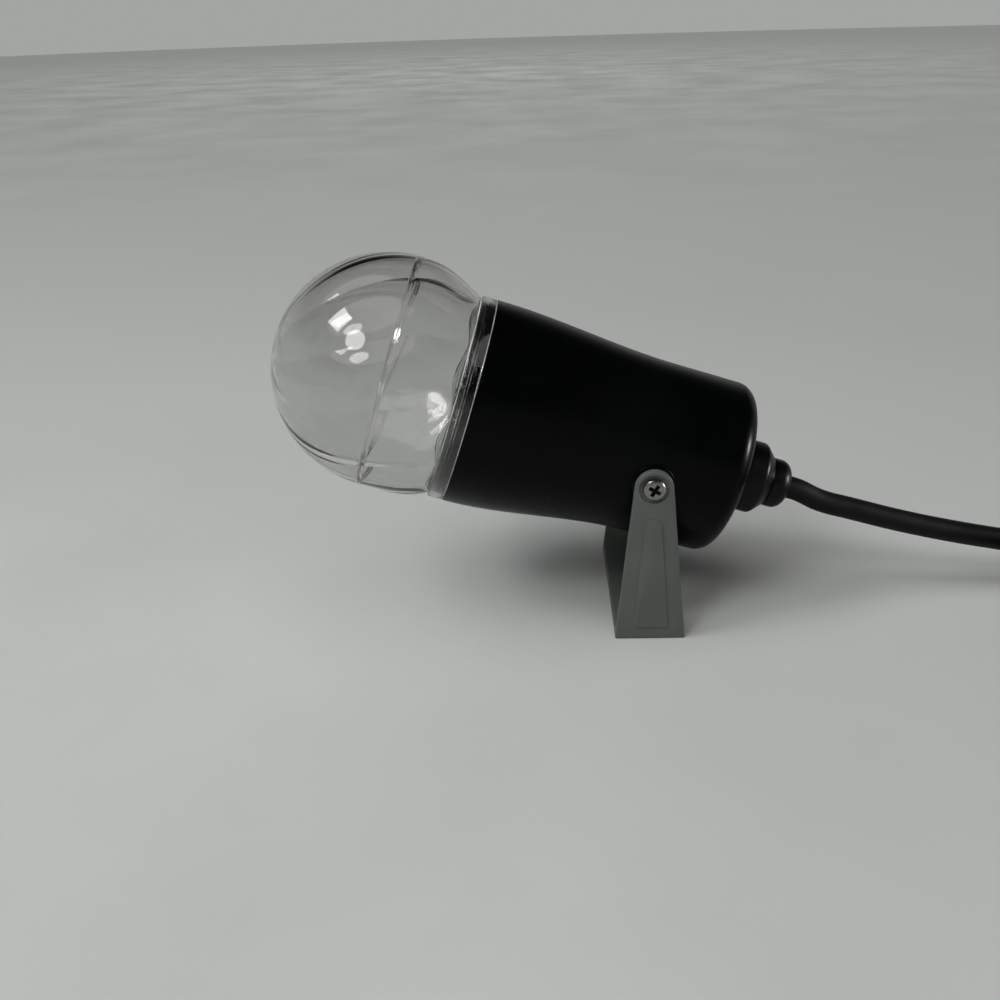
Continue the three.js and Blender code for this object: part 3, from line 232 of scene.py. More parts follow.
class PARTYLIGHT_PG_gland(bpy.types.PropertyGroup):
    flange_radius: length("Flange Radius", "Round flange on the housing", 0.0134)
    flange_length: length("Flange Length", "Straight part of the flange", 0.0111)
    bevel_length: length("Bevel Length", "Sloping part of the flange", 0.0039)
    thread_radius: length("Thread Radius", "Threaded barrel", 0.0096)
    thread_length: length("Thread Length", "Barrel inside the housing", 0.0065)
    shoulder: length("Shoulder", "Radius where the nut starts", 0.0095)
    nut_radius: length("Nut Radius", "Domed nut", 0.0091)
    nut_length: length("Nut Length", "Domed nut along the axis", 0.0076)
    nut_round: length("Nut Round", "Rounding of the dome", 0.0042)
    nut_mouth: length("Nut Mouth", "Opening for the lead", 0.0046)
    seal_radius: length("Seal Radius", "Bore round the seal", 0.0066)
    edge: length("Edge", "Rounding of the barrel, the shoulder and the nut", 0.0004)
    flange_edge: length("Flange Edge", "Rounding of the flange against the housing", 0.0003)
    bevel_edge: length("Bevel Edge", "Rounding where the slope starts", 0.0008)


class PARTYLIGHT_PG_lead(bpy.types.PropertyGroup):
    radius: length("Radius", "Round sheath", 0.0042)
    coil_x: length("Coil X", "Middle of the coil", 0.195)
    coil_y: length("Coil Y", "Middle of the coil", -0.03)
    coil_inner: length("Inner Turn", "Radius of the innermost turn", 0.031)
    turn_pitch: length("Turn Pitch", "From one turn to the next", 0.0089)
    layer_pitch: length("Layer Pitch", "From one layer to the next", 0.009)
    lower_level: length("Lower Level", "Height of the lower layer's line", 0.0053)
    start: angle("Start", "Where the lead enters the coil", 120)
    inner_length: length("Inner Length", "Lead inside the gland and the housing", 0.03)
    tie: angle("Tie", "Where the tie sits", -45)
    tie_width: length("Tie Width", "Strap across", 0.01)
    tie_wall: length("Tie Thickness", "Strap thickness", 0.0008)
    tie_slack: length("Tie Slack", "Room round the turns", 0.001)
    tie_corner: length("Tie Corner", "Rounding where the strap bends", 0.0016)
    tie_edge: length("Tie Edge", "Softness of the strap's edges", 0.0002)


class PARTYLIGHT_PG_plug(bpy.types.PropertyGroup):
    half_width: length("Half Width", "Body across", 0.013)
    half_height: length("Half Height", "Body upwards", 0.011)
    body: length("Body", "Body along the lead", 0.032)
    relief: length("Relief", "Strain relief", 0.02)
    relief_radius: length("Relief Radius", "Strain relief's radius", 0.0056)
    corner: length("Corner", "Rounding of the body", 0.004)
    grip: length("Grip", "Ribbed stretch", 0.017)
    blade_length: length("Blade Length", "Flat blades", 0.0175)
    blade_width: length("Blade Width", "Flat blades", 0.0063)
    blade_thickness: length("Blade Thickness", "Flat blades", 0.0015)
    blade_spacing: length("Blade Spacing", "Between the blades", 0.0127)
    blade_rise: length("Blade Rise", "Blades above the middle", 0.0042)
    pin_radius: length("Pin Radius", "Earth pin", 0.0024)
    pin_length: length("Pin Length", "Earth pin", 0.0205)
    pin_drop: length("Pin Drop", "Pin below the middle", 0.0059)
    blade_hole: length("Blade Hole", "Radius of the hole in a blade", 0.0016)
    blade_hole_place: length("Blade Hole Place", "From the hole to the tip", 0.0045)
    tip_corner: length("Tip Corner", "Bevel of a blade's tip", 0.0006)
    pin_round: length("Pin Round", "Rounding of the pin's tip", 0.0018)
    fine_edge: length("Fine Edge", "Softness of a blade's edges", 0.0001)
    seat: length("Seat", "Room between the body and the blades", 0.0003)
    relief_ribs: count("Relief Ribs", "Grooves round the strain relief", 6)
    grip_ribs: count("Grip Ribs", "Grooves across the grip", 4)
    rib_start: length("Rib Start", "From an end to the first groove", 0.0022)
    rib_pitch: length("Rib Pitch", "From one groove of the relief to the next", 0.003)
    rib_depth: length("Rib Depth", "Depth of the relief's grooves", 0.0008)
    rib_slope: length("Rib Slope", "Sloping side of the relief's grooves", 0.0002)
    rib_width: length("Rib Width", "A groove along the lead", 0.0011)
    rib_growth: length("Rib Growth", "How much wider each rib is than the last", 0.00009)
    grip_pitch: length("Grip Pitch", "From one groove of the grip to the next", 0.0026)
    grip_depth: length("Grip Depth", "Depth of the grip's grooves at the sides", 0.0007)
    grip_drop: length("Grip Drop", "Depth of the grip's grooves above and below", 0.0004)
    edge: length("Edge", "Step of the rounded ends", 0.0003)
    ease: length("Ease", "Where the body meets its grip", 0.0015)


class PARTYLIGHT_PG_colours(bpy.types.PropertyGroup):
    bracket: colour("Bracket", "Satin paint", 84, 88, 84)
    housing: colour("Housing", "Black moulding", 2, 3, 3)
    clear: colour("Clear Shell", "Polished clear plastic", 235, 235, 234)
    lens: colour("Lens", "Faceted clear plastic", 246, 247, 246)
    nickel: colour("Nickel", "Pivot screws", 142, 142, 138)
    steel: colour("Steel", "Inner steel pieces", 168, 170, 172)
    brass: colour("Brass", "Inserts and blades", 214, 180, 108)
    aluminium: colour("Aluminium", "Heat sink and tray", 196, 199, 202)
    sheath: colour("Sheath", "Lead's rubber", 4, 5, 5)
    nylon: colour("Nylon", "Gland", 3, 4, 4)
    plug: colour("Plug", "Moulded plug", 14, 15, 15)
    floor: colour("Floor", "Plain floor", 185, 187, 184)
    # Lighter floor colour for the painted pools of light in front of the globe and far behind
    floor_light_pool_colour: colour("Near Floor", "The floor in front of the globe and far behind", 203, 206, 202)
    sky: colour("Sky", "Pale light round the object", 238, 241, 238)


class PARTYLIGHT_PG_stage(bpy.types.PropertyGroup):
    floor_radius: length("Floor Radius", "Round floor", 8)
    sky_light: share("Sky Light", "Pale light near the level", 0.43)
    sky_top: share("Sky Top", "Dim light overhead", 0.02)
    sky_fade: share("Sky Fade", "Height at which the sky starts to darken", 0.12)
    sky_dark: share("Sky Dark", "Height at which it is dark", 0.5)
    sun_spread: angle("Sun Spread", "Softness of its shadows", 70)
    soft_sun: FloatProperty(name="Soft Sun", description="Broad light from above", default=1.6)
    lamp_distance: length("Lamp Distance", "Ceiling lamps from the globe", 1.6)
    square_lamp: length("Square Lamp", "Side of the square ceiling lamp", 0.46)
    round_lamp: length("Round Lamp", "Size of the round ceiling lamp", 0.52)
    side_lamp: length("Side Lamp", "Side of the lamp that gleams on the housing's rear corner", 0.25)
    side_level: FloatProperty(name="Side Level", description="Brightness of the side lamp", default=120)
    lamp_level: FloatProperty(name="Lamp Level", description="Ceiling lamps' brightness", default=9)


class PARTYLIGHT_PG_light(bpy.types.PropertyGroup):
    head: PointerProperty(type=PARTYLIGHT_PG_head)
    housing: PointerProperty(type=PARTYLIGHT_PG_housing)
    ring: PointerProperty(type=PARTYLIGHT_PG_ring)
    globe: PointerProperty(type=PARTYLIGHT_PG_globe)
    bracket: PointerProperty(type=PARTYLIGHT_PG_bracket)
    pivot: PointerProperty(type=PARTYLIGHT_PG_pivot)
    gland: PointerProperty(type=PARTYLIGHT_PG_gland)
    lead: PointerProperty(type=PARTYLIGHT_PG_lead)
    plug: PointerProperty(type=PARTYLIGHT_PG_plug)
    colours: PointerProperty(type=PARTYLIGHT_PG_colours)
    stage: PointerProperty(type=PARTYLIGHT_PG_stage)


def head_matrix(context):
    """The head's own frame at rest: X up, Y along the tilt axis, Z along the axis to the globe"""
    tilt = context.scene.party_light.head.tilt
    rise, run = math.sin(tilt), math.cos(tilt)
    turned = Matrix(((rise, 0, -run), (0, 1, 0), (run, 0, rise))).to_4x4()
    return Matrix.Translation(TILT_AXIS) @ turned


def arc(radius, place, bend, start, end, steps):
    """Outline corners on a round of the given bend, from one angle to another"""
    corners = []
    for i in range(steps + 1):
        at = start + (end - start) * i / steps
        corners.append((radius + bend * math.cos(at), place + bend * math.sin(at)))
    return corners


def turned(outline, steps):
    """A bmesh spun about Z from corners of (radius, place) or (radius, place, rounding)"""
    bm = bmesh.new()
    corners = [bm.verts.new((corner[0], 0, corner[1])) for corner in outline]
    for first, second in zip(corners, corners[1:]):
        bm.edges.new((first, second))
    if outline[0][0] > 0 or outline[-1][0] > 0:
        bm.edges.new((corners[-1], corners[0]))
    for corner, values in zip(corners, outline):
        if len(values) > 2:
            bmesh.ops.bevel(bm, geom=[corner], offset=values[2], offset_type="OFFSET", segments=5,
                            profile=0.5, affect="VERTICES", material=-1)
    bmesh.ops.spin(bm, geom=bm.verts[:] + bm.edges[:], cent=(0, 0, 0), axis=(0, 0, 1), dvec=(0, 0, 0),
                   angle=FULL_TURN, steps=steps, use_merge=True, use_duplicate=False)
    bmesh.ops.remove_doubles(bm, verts=bm.verts, dist=WELD / 10)
    bmesh.ops.recalc_face_normals(bm, faces=bm.faces)
    return bm


def moved(bm, *matrices):
    """The bmesh after the matrices, in their order"""
    for matrix in matrices:
        bmesh.ops.transform(bm, matrix=matrix, verts=bm.verts)
    return bm


def ramp(value, start, end):
    """A soft step from 0 to 1"""
    part = min(max((value - start) / (end - start), 0), 1)
    return part * part * (3 - 2 * part)


def risen(bm, rise_at):
    """Moves each corner up by the rise at its place along the axis"""
    for vert in bm.verts:
        vert.co.x += rise_at(vert.co.z)
    return bm


def along_y(way):
    """Turns Z to the side away from the middle"""
    return Matrix.Rotation(-way * RIGHT_ANGLE, 4, "X")


def block(low, high):
    """A box between two opposite corners"""
    bm = bmesh.new()
    bmesh.ops.create_cube(bm, size=1)
    low, high = Vector(low), Vector(high)
    size = high - low
    return moved(bm, Matrix.Diagonal((*size, 1)), Matrix.Translation((low + high) / 2))


def band_outline(inner, outer, start, end):
    """The section of a plain band, or of a bar where the inner radius is 0"""
    return [(inner, start), (outer, start), (outer, end), (inner, end)]


def rod(radius, start, end, steps=48):
    """A round bar along Z"""
    return turned(band_outline(0, radius, start, end), steps)


def temporary(bm):
    """An object that holds the bmesh for a modifier"""
    mesh = bpy.data.meshes.new("tool")
    bm.to_mesh(mesh)
    bm.free()
    made = bpy.data.objects.new("tool", mesh)
    bpy.context.scene.collection.objects.link(made)
    return made


def combined(bm, tools, operation):
    """The bmesh joined with, cut by or kept within the tools"""
    base = temporary(bm)
    others = [temporary(tool) for tool in tools]
    for other in others:
        modifier = base.modifiers.new("Cut", "BOOLEAN")
        modifier.operation = operation
        modifier.solver = "EXACT"
        modifier.object = other
    result = bmesh.new()
    result.from_object(base, bpy.context.evaluated_depsgraph_get())
    for tool in (base, *others):
        mesh = tool.data
        bpy.data.objects.remove(tool)
        bpy.data.meshes.remove(mesh)
    bmesh.ops.remove_doubles(result, verts=result.verts, dist=WELD)
    return result


def softened(bm, offset, segments=3, sharper_than=math.radians(40)):
    """Rounds the edges that turn by more than the angle"""
    bmesh.ops.dissolve_limit(bm, angle_limit=FLAT_ANGLE, verts=bm.verts, edges=bm.edges)
    sharp = [edge for edge in bm.edges
             if len(edge.link_faces) == 2 and edge.calc_face_angle(0) > sharper_than]
    bmesh.ops.bevel(bm, geom=sharp, offset=offset, offset_type="OFFSET", segments=segments,
                    profile=0.5, affect="EDGES", clamp_overlap=True, material=-1)
    return bm


def piece(name, bm, finish, body, replaced=(), smooth=SOFT_EDGE_ANGLE):
    """Keeps the bmesh as a piece that rides on a body and stands for the replaced nodes"""
    mesh = bpy.data.meshes.new(name)
    bm.to_mesh(mesh)
    bm.free()
    mesh.polygons.foreach_set("use_smooth", [True] * len(mesh.polygons))
    mesh.set_sharp_from_angle(angle=smooth)
    mesh.materials.append(bpy.data.materials[finish])
    made = bpy.data.objects.new(name, mesh)
    bpy.context.scene.collection.objects.link(made)
    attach(made, body)
    if replaced:
        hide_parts(*replaced)
    return made


# Finishes


class Finish:
    """A material with its shader and the few patterns that these finishes are made from

    Scales are repeats to the metre, distances are metres, and stretch says how much the pattern is
    squeezed along each axis. The turn brings a pattern's Z onto the head's axis.
    """

    def __init__(self, name, base, roughness, turn=0.0, **sockets):
        self.material = bpy.data.materials.new(name)
        self.material.use_nodes = True
        self.tree = self.material.node_tree
        self.shader = self.tree.nodes["Principled BSDF"]
        self.shader.inputs["Base Color"].default_value = base
        self.shader.inputs["Roughness"].default_value = roughness
        for socket, value in sockets.items():
            self.shader.inputs[socket.replace("_", " ")].default_value = value
        self.turn = turn
        self.bump = None

    def node(self, kind, **values):
        """A node with values for its sockets or, for names that aren't sockets, its settings"""
        made = self.tree.nodes.new(kind)
        for key, value in values.items():
            if key in made.inputs:
                made.inputs[key].default_value = value
            else:
                setattr(made, key, value)
        return made

    def join(self, source, output, target, entry):
        self.tree.links.new(source.outputs[output], target.inputs[entry])

    def places(self, scale=(1, 1, 1), source="Object"):
        coordinates = self.node("ShaderNodeTexCoord")
        mapping = self.node("ShaderNodeMapping", Rotation=(0, self.turn, 0), Scale=scale)
        self.join(coordinates, source, mapping, "Vector")
        return mapping

    def noise(self, scale, stretch, detail=4.0, source="Object"):
        noise = self.node("ShaderNodeTexNoise", Scale=scale, Detail=detail, Roughness=0.55)
        self.join(self.places(stretch, source), "Vector", noise, "Vector")
        return noise

    def ranged(self, source, output, low, high, start, end):
        """The source's stretch from start to end, spread from low to high"""
        ranged = self.node("ShaderNodeMapRange")
        for key, value in (("From Min", start), ("From Max", end), ("To Min", low), ("To Max", high)):
            ranged.inputs[key].default_value = value
        self.join(source, output, ranged, "Value")
        return ranged

    def blended(self, part, output, light):
        """Takes the base colour towards a lighter one by a share"""
        base = self.shader.inputs["Base Color"]
        mix = self.node("ShaderNodeMix", data_type="RGBA")
        first, second = [entry for entry in mix.inputs if entry.type == "RGBA"]
        first.default_value = base.default_value
        second.default_value = light
        if base.links:
            self.tree.links.new(base.links[0].from_socket, first)
        self.join(part, output, mix, "Factor")
        self.tree.links.new([entry for entry in mix.outputs if entry.type == "RGBA"][0], base)
        return self

    def mottle(self, scale, light, stretch=(1, 1, 1), start=0.35, end=0.7):
        """Drifts the base colour towards a lighter one"""
        noise = self.noise(scale, stretch)
        return self.blended(self.ranged(noise, "Fac", 0, 1, start, end), "Result", light)

    def pool(self, middle, reach, light):
        """Painted light: lightens the base colour round a place, out to the reach, as a pool of light
        """
        coordinates = self.node("ShaderNodeTexCoord")
        mapping = self.node("ShaderNodeMapping", vector_type="TEXTURE", Location=middle,
                            Scale=(reach, reach, reach))
        gradient = self.node("ShaderNodeTexGradient", gradient_type="SPHERICAL")
        self.join(coordinates, "Object", mapping, "Vector")
        self.join(mapping, "Vector", gradient, "Vector")
        return self.blended(gradient, "Fac", light)

    def patches(self, scale, low, high, stretch=(1, 1, 1), start=0.3, end=0.7, detail=4.0):
        """Lets the roughness drift between two values"""
        noise = self.noise(scale, stretch, detail)
        self.join(self.ranged(noise, "Fac", low, high, start, end), "Result", self.shader, "Roughness")
        return self

    def raised(self, pattern, distance, strength=1.0):
        """Adds the pattern as a bump over what is there"""
        bump = self.node("ShaderNodeBump", Strength=strength, Distance=distance)
        self.join(pattern, "Fac", bump, "Height")
        if self.bump:
            self.join(self.bump, "Normal", bump, "Normal")
        self.join(bump, "Normal", self.shader, "Normal")
        self.bump = bump
        return self

    def grain(self, scale, distance, strength=1.0, stretch=(1, 1, 1), detail=3.0, source="Object"):
        """Adds a fine uneven bump"""
        return self.raised(self.noise(scale, stretch, detail, source), distance, strength)

    def ribs(self, scale, distance, axis):
        """Adds even ribs across one axis"""
        wave = self.node("ShaderNodeTexWave", Scale=scale, bands_direction=axis)
        self.join(self.places(), "Vector", wave, "Vector")
        return self.raised(wave, distance)

    def lets_light_in(self):
        """Shadow rays pass, so that the works inside the clear pieces are lit"""
        path = self.node("ShaderNodeLightPath")
        through = self.node("ShaderNodeBsdfTransparent", Color=(0.9, 0.92, 0.92, 1))
        mix = self.node("ShaderNodeMixShader")
        self.join(path, "Is Shadow Ray", mix, "Fac")
        self.tree.links.new(self.shader.outputs["BSDF"], mix.inputs[1])
        self.tree.links.new(through.outputs["BSDF"], mix.inputs[2])
        self.tree.links.new(mix.outputs["Shader"], self.tree.nodes["Material Output"].inputs["Surface"])
        return self


# Painted pools of light on the floor: lighter in front of the globe, and far behind
FRONT_POOL = (-0.3, -0.35, 0)
FRONT_POOL_REACH = 0.9
FAR_POOL = (-0.3, 3.6, 0)
FAR_POOL_REACH = 3.2


class PARTYLIGHT_OT_finishes(bpy.types.Operator):
    """Makes the materials"""

    bl_idname = "party_light.finishes"
    bl_label = "Finishes"

    def execute(self, context):
        light = context.scene.party_light
        colours = light.colours
        turn = RIGHT_ANGLE - light.head.tilt
        Finish("bracket_paint", colours.bracket, 0.5, Specular_IOR_Level=0.35) \
            .mottle(55, shade(colours.bracket, 1.16)) \
            .patches(160, 0.42, 0.56) \
            .grain(900, 0.00006)
        Finish("housing_black", colours.housing, 0.3, turn, Specular_IOR_Level=0.08) \
            .mottle(45, shade(colours.housing, 2.2), (1, 1, 0.4), 0.5, 0.85) \
            .patches(26, 0.22, 0.36, (1, 1, 0.25), detail=8) \
            .grain(420, 0.00002, stretch=(1, 1, 0.5))
        Finish("clear_shell", colours.clear, 0.015, Transmission_Weight=1, IOR=1.5) \
            .patches(35, 0.0, 0.05, start=0.55, end=0.8, detail=8) \
            .grain(24, 0.000015, 0.5, detail=1) \
            .lets_light_in()
        Finish("clear_ring", shade(colours.clear, 0.92), 0.01, Transmission_Weight=1, IOR=1.5,
               Specular_IOR_Level=0.25) \
            .patches(60, 0.0, 0.02) \
            .lets_light_in()
        # Pale opaque finish for the ring's thin bands: painted highlights along its clear edges
        Finish("painted_edge_highlight", hue(186, 190, 188), 0.3, Specular_IOR_Level=0.6) \
            .patches(300, 0.2, 0.45) \
            .mottle(160, hue(120, 124, 123))
        Finish("clear_lens", colours.lens, 0.02, Transmission_Weight=1, IOR=1.49,
               Specular_IOR_Level=0.3) \
            .patches(90, 0.0, 0.06) \
            .grain(160, 0.00001, detail=1) \
            .lets_light_in()
        # Near black finish for the cross's floor and lower walls: painted shade in the slots
        Finish("painted_shade_recess", shade(colours.nickel, 0.03), 0.7, Specular_IOR_Level=0.08) \
            .mottle(300, shade(colours.nickel, 0.06))
        Finish("bright_nickel", colours.nickel, 0.24, Metallic=1) \
            .patches(700, 0.2, 0.38) \
            .grain(1400, 0.00001)
        Finish("plain_steel", colours.steel, 0.4, turn, Metallic=1) \
            .patches(300, 0.3, 0.5, (1, 1, 4)) \
            .grain(800, 0.00001, stretch=(1, 1, 6))
        Finish("laminations", shade(colours.steel, 0.6), 0.45, turn, Metallic=1) \
            .patches(200, 0.35, 0.6) \
            .ribs(300, 0.00008, "Y")
        Finish("turned_brass", colours.brass, 0.3, Metallic=1) \
            .patches(500, 0.22, 0.42) \
            .grain(900, 0.00001)
        Finish("bare_aluminium", colours.aluminium, 0.42, turn, Metallic=1) \
            .patches(260, 0.34, 0.52, (6, 1, 1)) \
            .grain(600, 0.00002, stretch=(8, 1, 1))
        Finish("lead_sheath", colours.sheath, 0.5, Specular_IOR_Level=0.18) \
            .patches(90, 0.42, 0.62) \
            .grain(1, 0.00006, stretch=(900, 60, 1), source="UV")
        Finish("black_nylon", colours.nylon, 0.3, turn, Specular_IOR_Level=0.16) \
            .patches(120, 0.26, 0.42) \
            .grain(700, 0.00002)
        Finish("black_rubber", shade(colours.sheath, 0.9), 0.6, Specular_IOR_Level=0.3) \
            .patches(150, 0.5, 0.7) \
            .grain(1100, 0.00003)
        Finish("plug_moulding", colours.plug, 0.45, Specular_IOR_Level=0.4) \
            .patches(150, 0.36, 0.55) \
            .grain(1500, 0.00004)
        Finish("strap_weave", colours.plug, 0.85, Sheen_Weight=0.3) \
            .patches(300, 0.75, 0.95) \
            .ribs(260, 0.0002, "X") \
            .ribs(260, 0.0002, "Z")
        Finish("white_board", hue(232, 232, 226), 0.4, turn) \
            .mottle(200, hue(215, 216, 208)) \
            .patches(400, 0.35, 0.5)
        Finish("fibre_board", hue(38, 96, 56), 0.4, turn, Coat_Weight=0.3) \
            .mottle(260, hue(58, 120, 70), (1, 4, 4)) \
            .grain(700, 0.00002)
        Finish("copper_winding", hue(176, 92, 46), 0.3, turn, Metallic=0.8) \
            .patches(300, 0.22, 0.42) \
            .ribs(420, 0.0001, "Z")
        for name, dome in (("red", (214, 60, 52)), ("green", (64, 178, 90)),
                           ("blue", (60, 96, 208)), ("white", (240, 232, 196))):
            Finish(f"emitter_{name}", hue(*dome), 0.15, Coat_Weight=0.6) \
                .patches(600, 0.1, 0.22) \
                .grain(500, 0.00001)
        for name, jacket in (("brown", (107, 63, 34)), ("blue", (43, 87, 164)),
                             ("green", (104, 140, 48))):
            Finish(f"wire_{name}", hue(*jacket), 0.45) \
                .patches(400, 0.38, 0.52) \
                .grain(900, 0.00001)
        # The floor carries painted pools of light: lighter in front of the globe and far behind
        Finish("floor", colours.floor, 0.9, Specular_IOR_Level=0.1) \
            .pool(FRONT_POOL, FRONT_POOL_REACH, colours.floor_light_pool_colour) \
            .pool(FAR_POOL, FAR_POOL_REACH, shade(colours.floor_light_pool_colour, 1.22)) \
            .mottle(5, shade(colours.floor, 1.04)) \
            .grain(260, 0.0003, 0.25)
        return {"FINISHED"}


# Camera and lead

# The camera as fitted to the photograph
PICTURE_SIDE = 1000  # pixels
LENS = 38.88
SENSOR_WIDTH = 36
VIEWPOINT = (-0.0405330, -0.3713775, 0.2098924)
HEADING = math.radians(2.0649)
DIP = math.radians(24.5929)
ROLL = math.radians(-1.8189)


class PARTYLIGHT_OT_camera(bpy.types.Operator):
    """Sets the camera where the photograph was taken from"""

    bl_idname = "party_light.camera"
    bl_label = "Camera"

    def execute(self, context):
        data = bpy.data.cameras.new("camera")
        data.lens = LENS
        data.sensor_width = SENSOR_WIDTH
        data.clip_start = 0.01
        camera = bpy.data.objects.new("camera", data)
        aim = (Matrix.Rotation(HEADING, 4, "Z") @ Matrix.Rotation(RIGHT_ANGLE - DIP, 4, "X")
               @ Matrix.Rotation(ROLL, 4, "Z"))
        camera.matrix_world = Matrix.Translation(VIEWPOINT) @ aim
        context.scene.collection.objects.link(camera)
        context.scene.camera = camera
        context.view_layer.update()
        return {"FINISHED"}


UPPER_TURNS = 1.75
REVERSING_TURNS = 0.5
LOWER_TURNS = 2.361
POINTS_PER_TURN = 24


def coil_line(lead):
    """The coil's centre line: wound clockwise inwards on the upper layer and out again on the lower"""
    turns = UPPER_TURNS + REVERSING_TURNS + LOWER_TURNS
    steps = round(turns * POINTS_PER_TURN)
    points = []
    for i in range(steps + 1):
        away = turns * i / steps - (UPPER_TURNS + REVERSING_TURNS / 2)
        radius = lead.coil_inner + lead.turn_pitch * abs(away)
        at = lead.start - FULL_TURN * turns * i / steps
        fall = ramp(away, -REVERSING_TURNS / 2, REVERSING_TURNS / 2)
        points.append(Vector((
            lead.coil_x + radius * math.cos(at),
            lead.coil_y + radius * math.sin(at),
            lead.lower_level + lead.layer_pitch * (1 - fall))))
    return points


def level(start, end, distance):
    """The way from one point to the next, kept level, for a distance"""
    ahead = Vector((end.x - start.x, end.y - start.y, 0))
    return ahead.normalized() * distance


def curve_mesh(points, radius):
    """A smooth curve through the points as a mesh: a round tube, or its bare line for no radius"""
    data = bpy.data.curves.new("line", "CURVE")
    data.dimensions = "3D"
    data.resolution_u = 8
    data.bevel_depth = radius
    data.bevel_resolution = 6
    data.use_fill_caps = True
    data.twist_mode = "Z_UP"
    spline = data.splines.new("BEZIER")
    spline.bezier_points.add(len(points) - 1)
    for place, point in zip(points, spline.bezier_points):
        point.co = place
        point.handle_left_type = "AUTO"
        point.handle_right_type = "AUTO"
    holder = bpy.data.objects.new("line", data)
    bpy.context.scene.collection.objects.link(holder)
    bpy.context.view_layer.update()
    mesh = bpy.data.meshes.new_from_object(holder.evaluated_get(bpy.context.evaluated_depsgraph_get()))
    bpy.data.objects.remove(holder)
    return mesh


class PARTYLIGHT_OT_lead(bpy.types.Operator):
    """Makes the mains lead, from the gland to the coil and on to its plug, with the coil's tie"""

    bl_idname = "party_light.lead"
    bl_label = "Mains Lead"

    def execute(self, context):
        light = context.scene.party_light
        lead = light.lead
        gland = light.gland
        to_world = head_matrix(context)
        gland_length = gland.flange_length + gland.bevel_length + gland.nut_length
        start = light.housing.rear - gland_length - 3 * light.globe.gap
        rise = light.housing.rise
        coil = coil_line(lead)
        entry = coil[0] - level(coil[0], coil[1], 2 * lead.radius)
        leaving = coil[-1] + level(coil[-2], coil[-1], 2 * lead.radius)
        route = [
            to_world @ Vector((rise, 0, start)),
            to_world @ Vector((rise, 0, start - lead.radius)),
            (0.0662, 0, 0.0375),
            (0.0778, 0, 0.034),
            (0.0971, 0, 0.0285),
            (0.1164, 0, 0.0239),
            (0.135, 0, 0.0202),
            (0.1475, 0.0011, 0.0174),
            entry - level(coil[0], coil[1], lead.radius),
            entry,
            *coil,
            leaving,
            leaving + level(coil[-2], coil[-1], lead.radius),
            (0.1603, -0.0789, 0.0056),
            (0.1474, -0.0694, 0.0064),
            (0.1402, -0.0563, 0.0084),
            (0.1398, -0.0418, 0.013),
            (0.145, -0.0284, 0.0194),
            (0.1534, -0.0189, 0.025),
            (0.1622, -0.0133, 0.0289),
            (0.1711, -0.0112, 0.03),
            (0.1792, -0.0112, 0.03),
        ]
        line = curve_mesh(route, 0)
        mesh = curve_mesh(route, lead.radius)
        mesh.name = "lead"
        mesh.polygons.foreach_set("use_smooth", [True] * len(mesh.polygons))
        mesh.set_sharp_from_angle(angle=LEAD_EDGE_ANGLE)
        mesh.materials.clear()
        mesh.materials.append(bpy.data.materials["lead_sheath"])
        sheath = bpy.data.objects.new("lead", mesh)
        context.scene.collection.objects.link(sheath)
        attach(sheath, "stand")
        sheath.parent = None  # the lead is left with no parent; only a mesh with no parent can bend
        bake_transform(sheath)
        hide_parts("cord", "cord_coil", "cord_tail")
        moulding = make_plug(light.plug)
        strap = make_tie(lead)
        blades = make_blades(light.plug)

        inner = moved(rod(lead.radius, start, start + lead.inner_length, light.head.small_steps),
                      Matrix.Translation((rise, 0, 0)), to_world)
        piece("lead_inside", inner, "black_rubber", "head", ["cord_inner"])
        return {"FINISHED"}


# The plug lies with its Z along the lead, on the end of the route
PLUG_PLACE = (Matrix.Translation((0.1795, -0.0112, 0.03)) @ Matrix.Rotation(RIGHT_ANGLE, 4, "Y")
              @ Matrix.Rotation(RIGHT_ANGLE, 4, "Z"))


def section(bm, place, half_width, half_height, corner):
    """One rounded rectangle of a moulding, as a ring of edges"""
    made = bmesh.ops.create_grid(bm, x_segments=1, y_segments=1, size=1)
    verts = made["verts"]
    bmesh.ops.transform(bm, verts=verts, matrix=Matrix.Translation((0, 0, place))
                        @ Matrix.Diagonal((half_width, half_height, 1, 1)))
    faces = {face for vert in verts for face in vert.link_faces}
    bmesh.ops.delete(bm, geom=list(faces), context="FACES_ONLY")
    before = set(bm.edges) - {edge for vert in verts for edge in vert.link_edges}
    bmesh.ops.bevel(bm, geom=verts, offset=corner, offset_type="OFFSET", segments=8, profile=0.5,
                    affect="VERTICES", material=-1)
    return [edge for edge in bm.edges if edge not in before]


def moulding_of(sections):
    """Bridges rounded rectangles into one closed skin"""
    bm = bmesh.new()
    rings = [section(bm, *values) for values in sections]
    for first, second in zip(rings, rings[1:]):
        bmesh.ops.bridge_loops(bm, edges=first + second)
    for ring in (rings[0], rings[-1]):
        bmesh.ops.contextual_create(bm, geom=ring)
    bmesh.ops.recalc_face_normals(bm, faces=bm.faces)
    return bm


# How the strain relief swells into the body: along from its end, what is added to its radius across and
# upwards, and what is added to that for the corners
PLUG_SHOULDER = ((0.003, 0.0006, 0.0005, 0), (0.007, 0.0022, 0.0021, 0.0004))


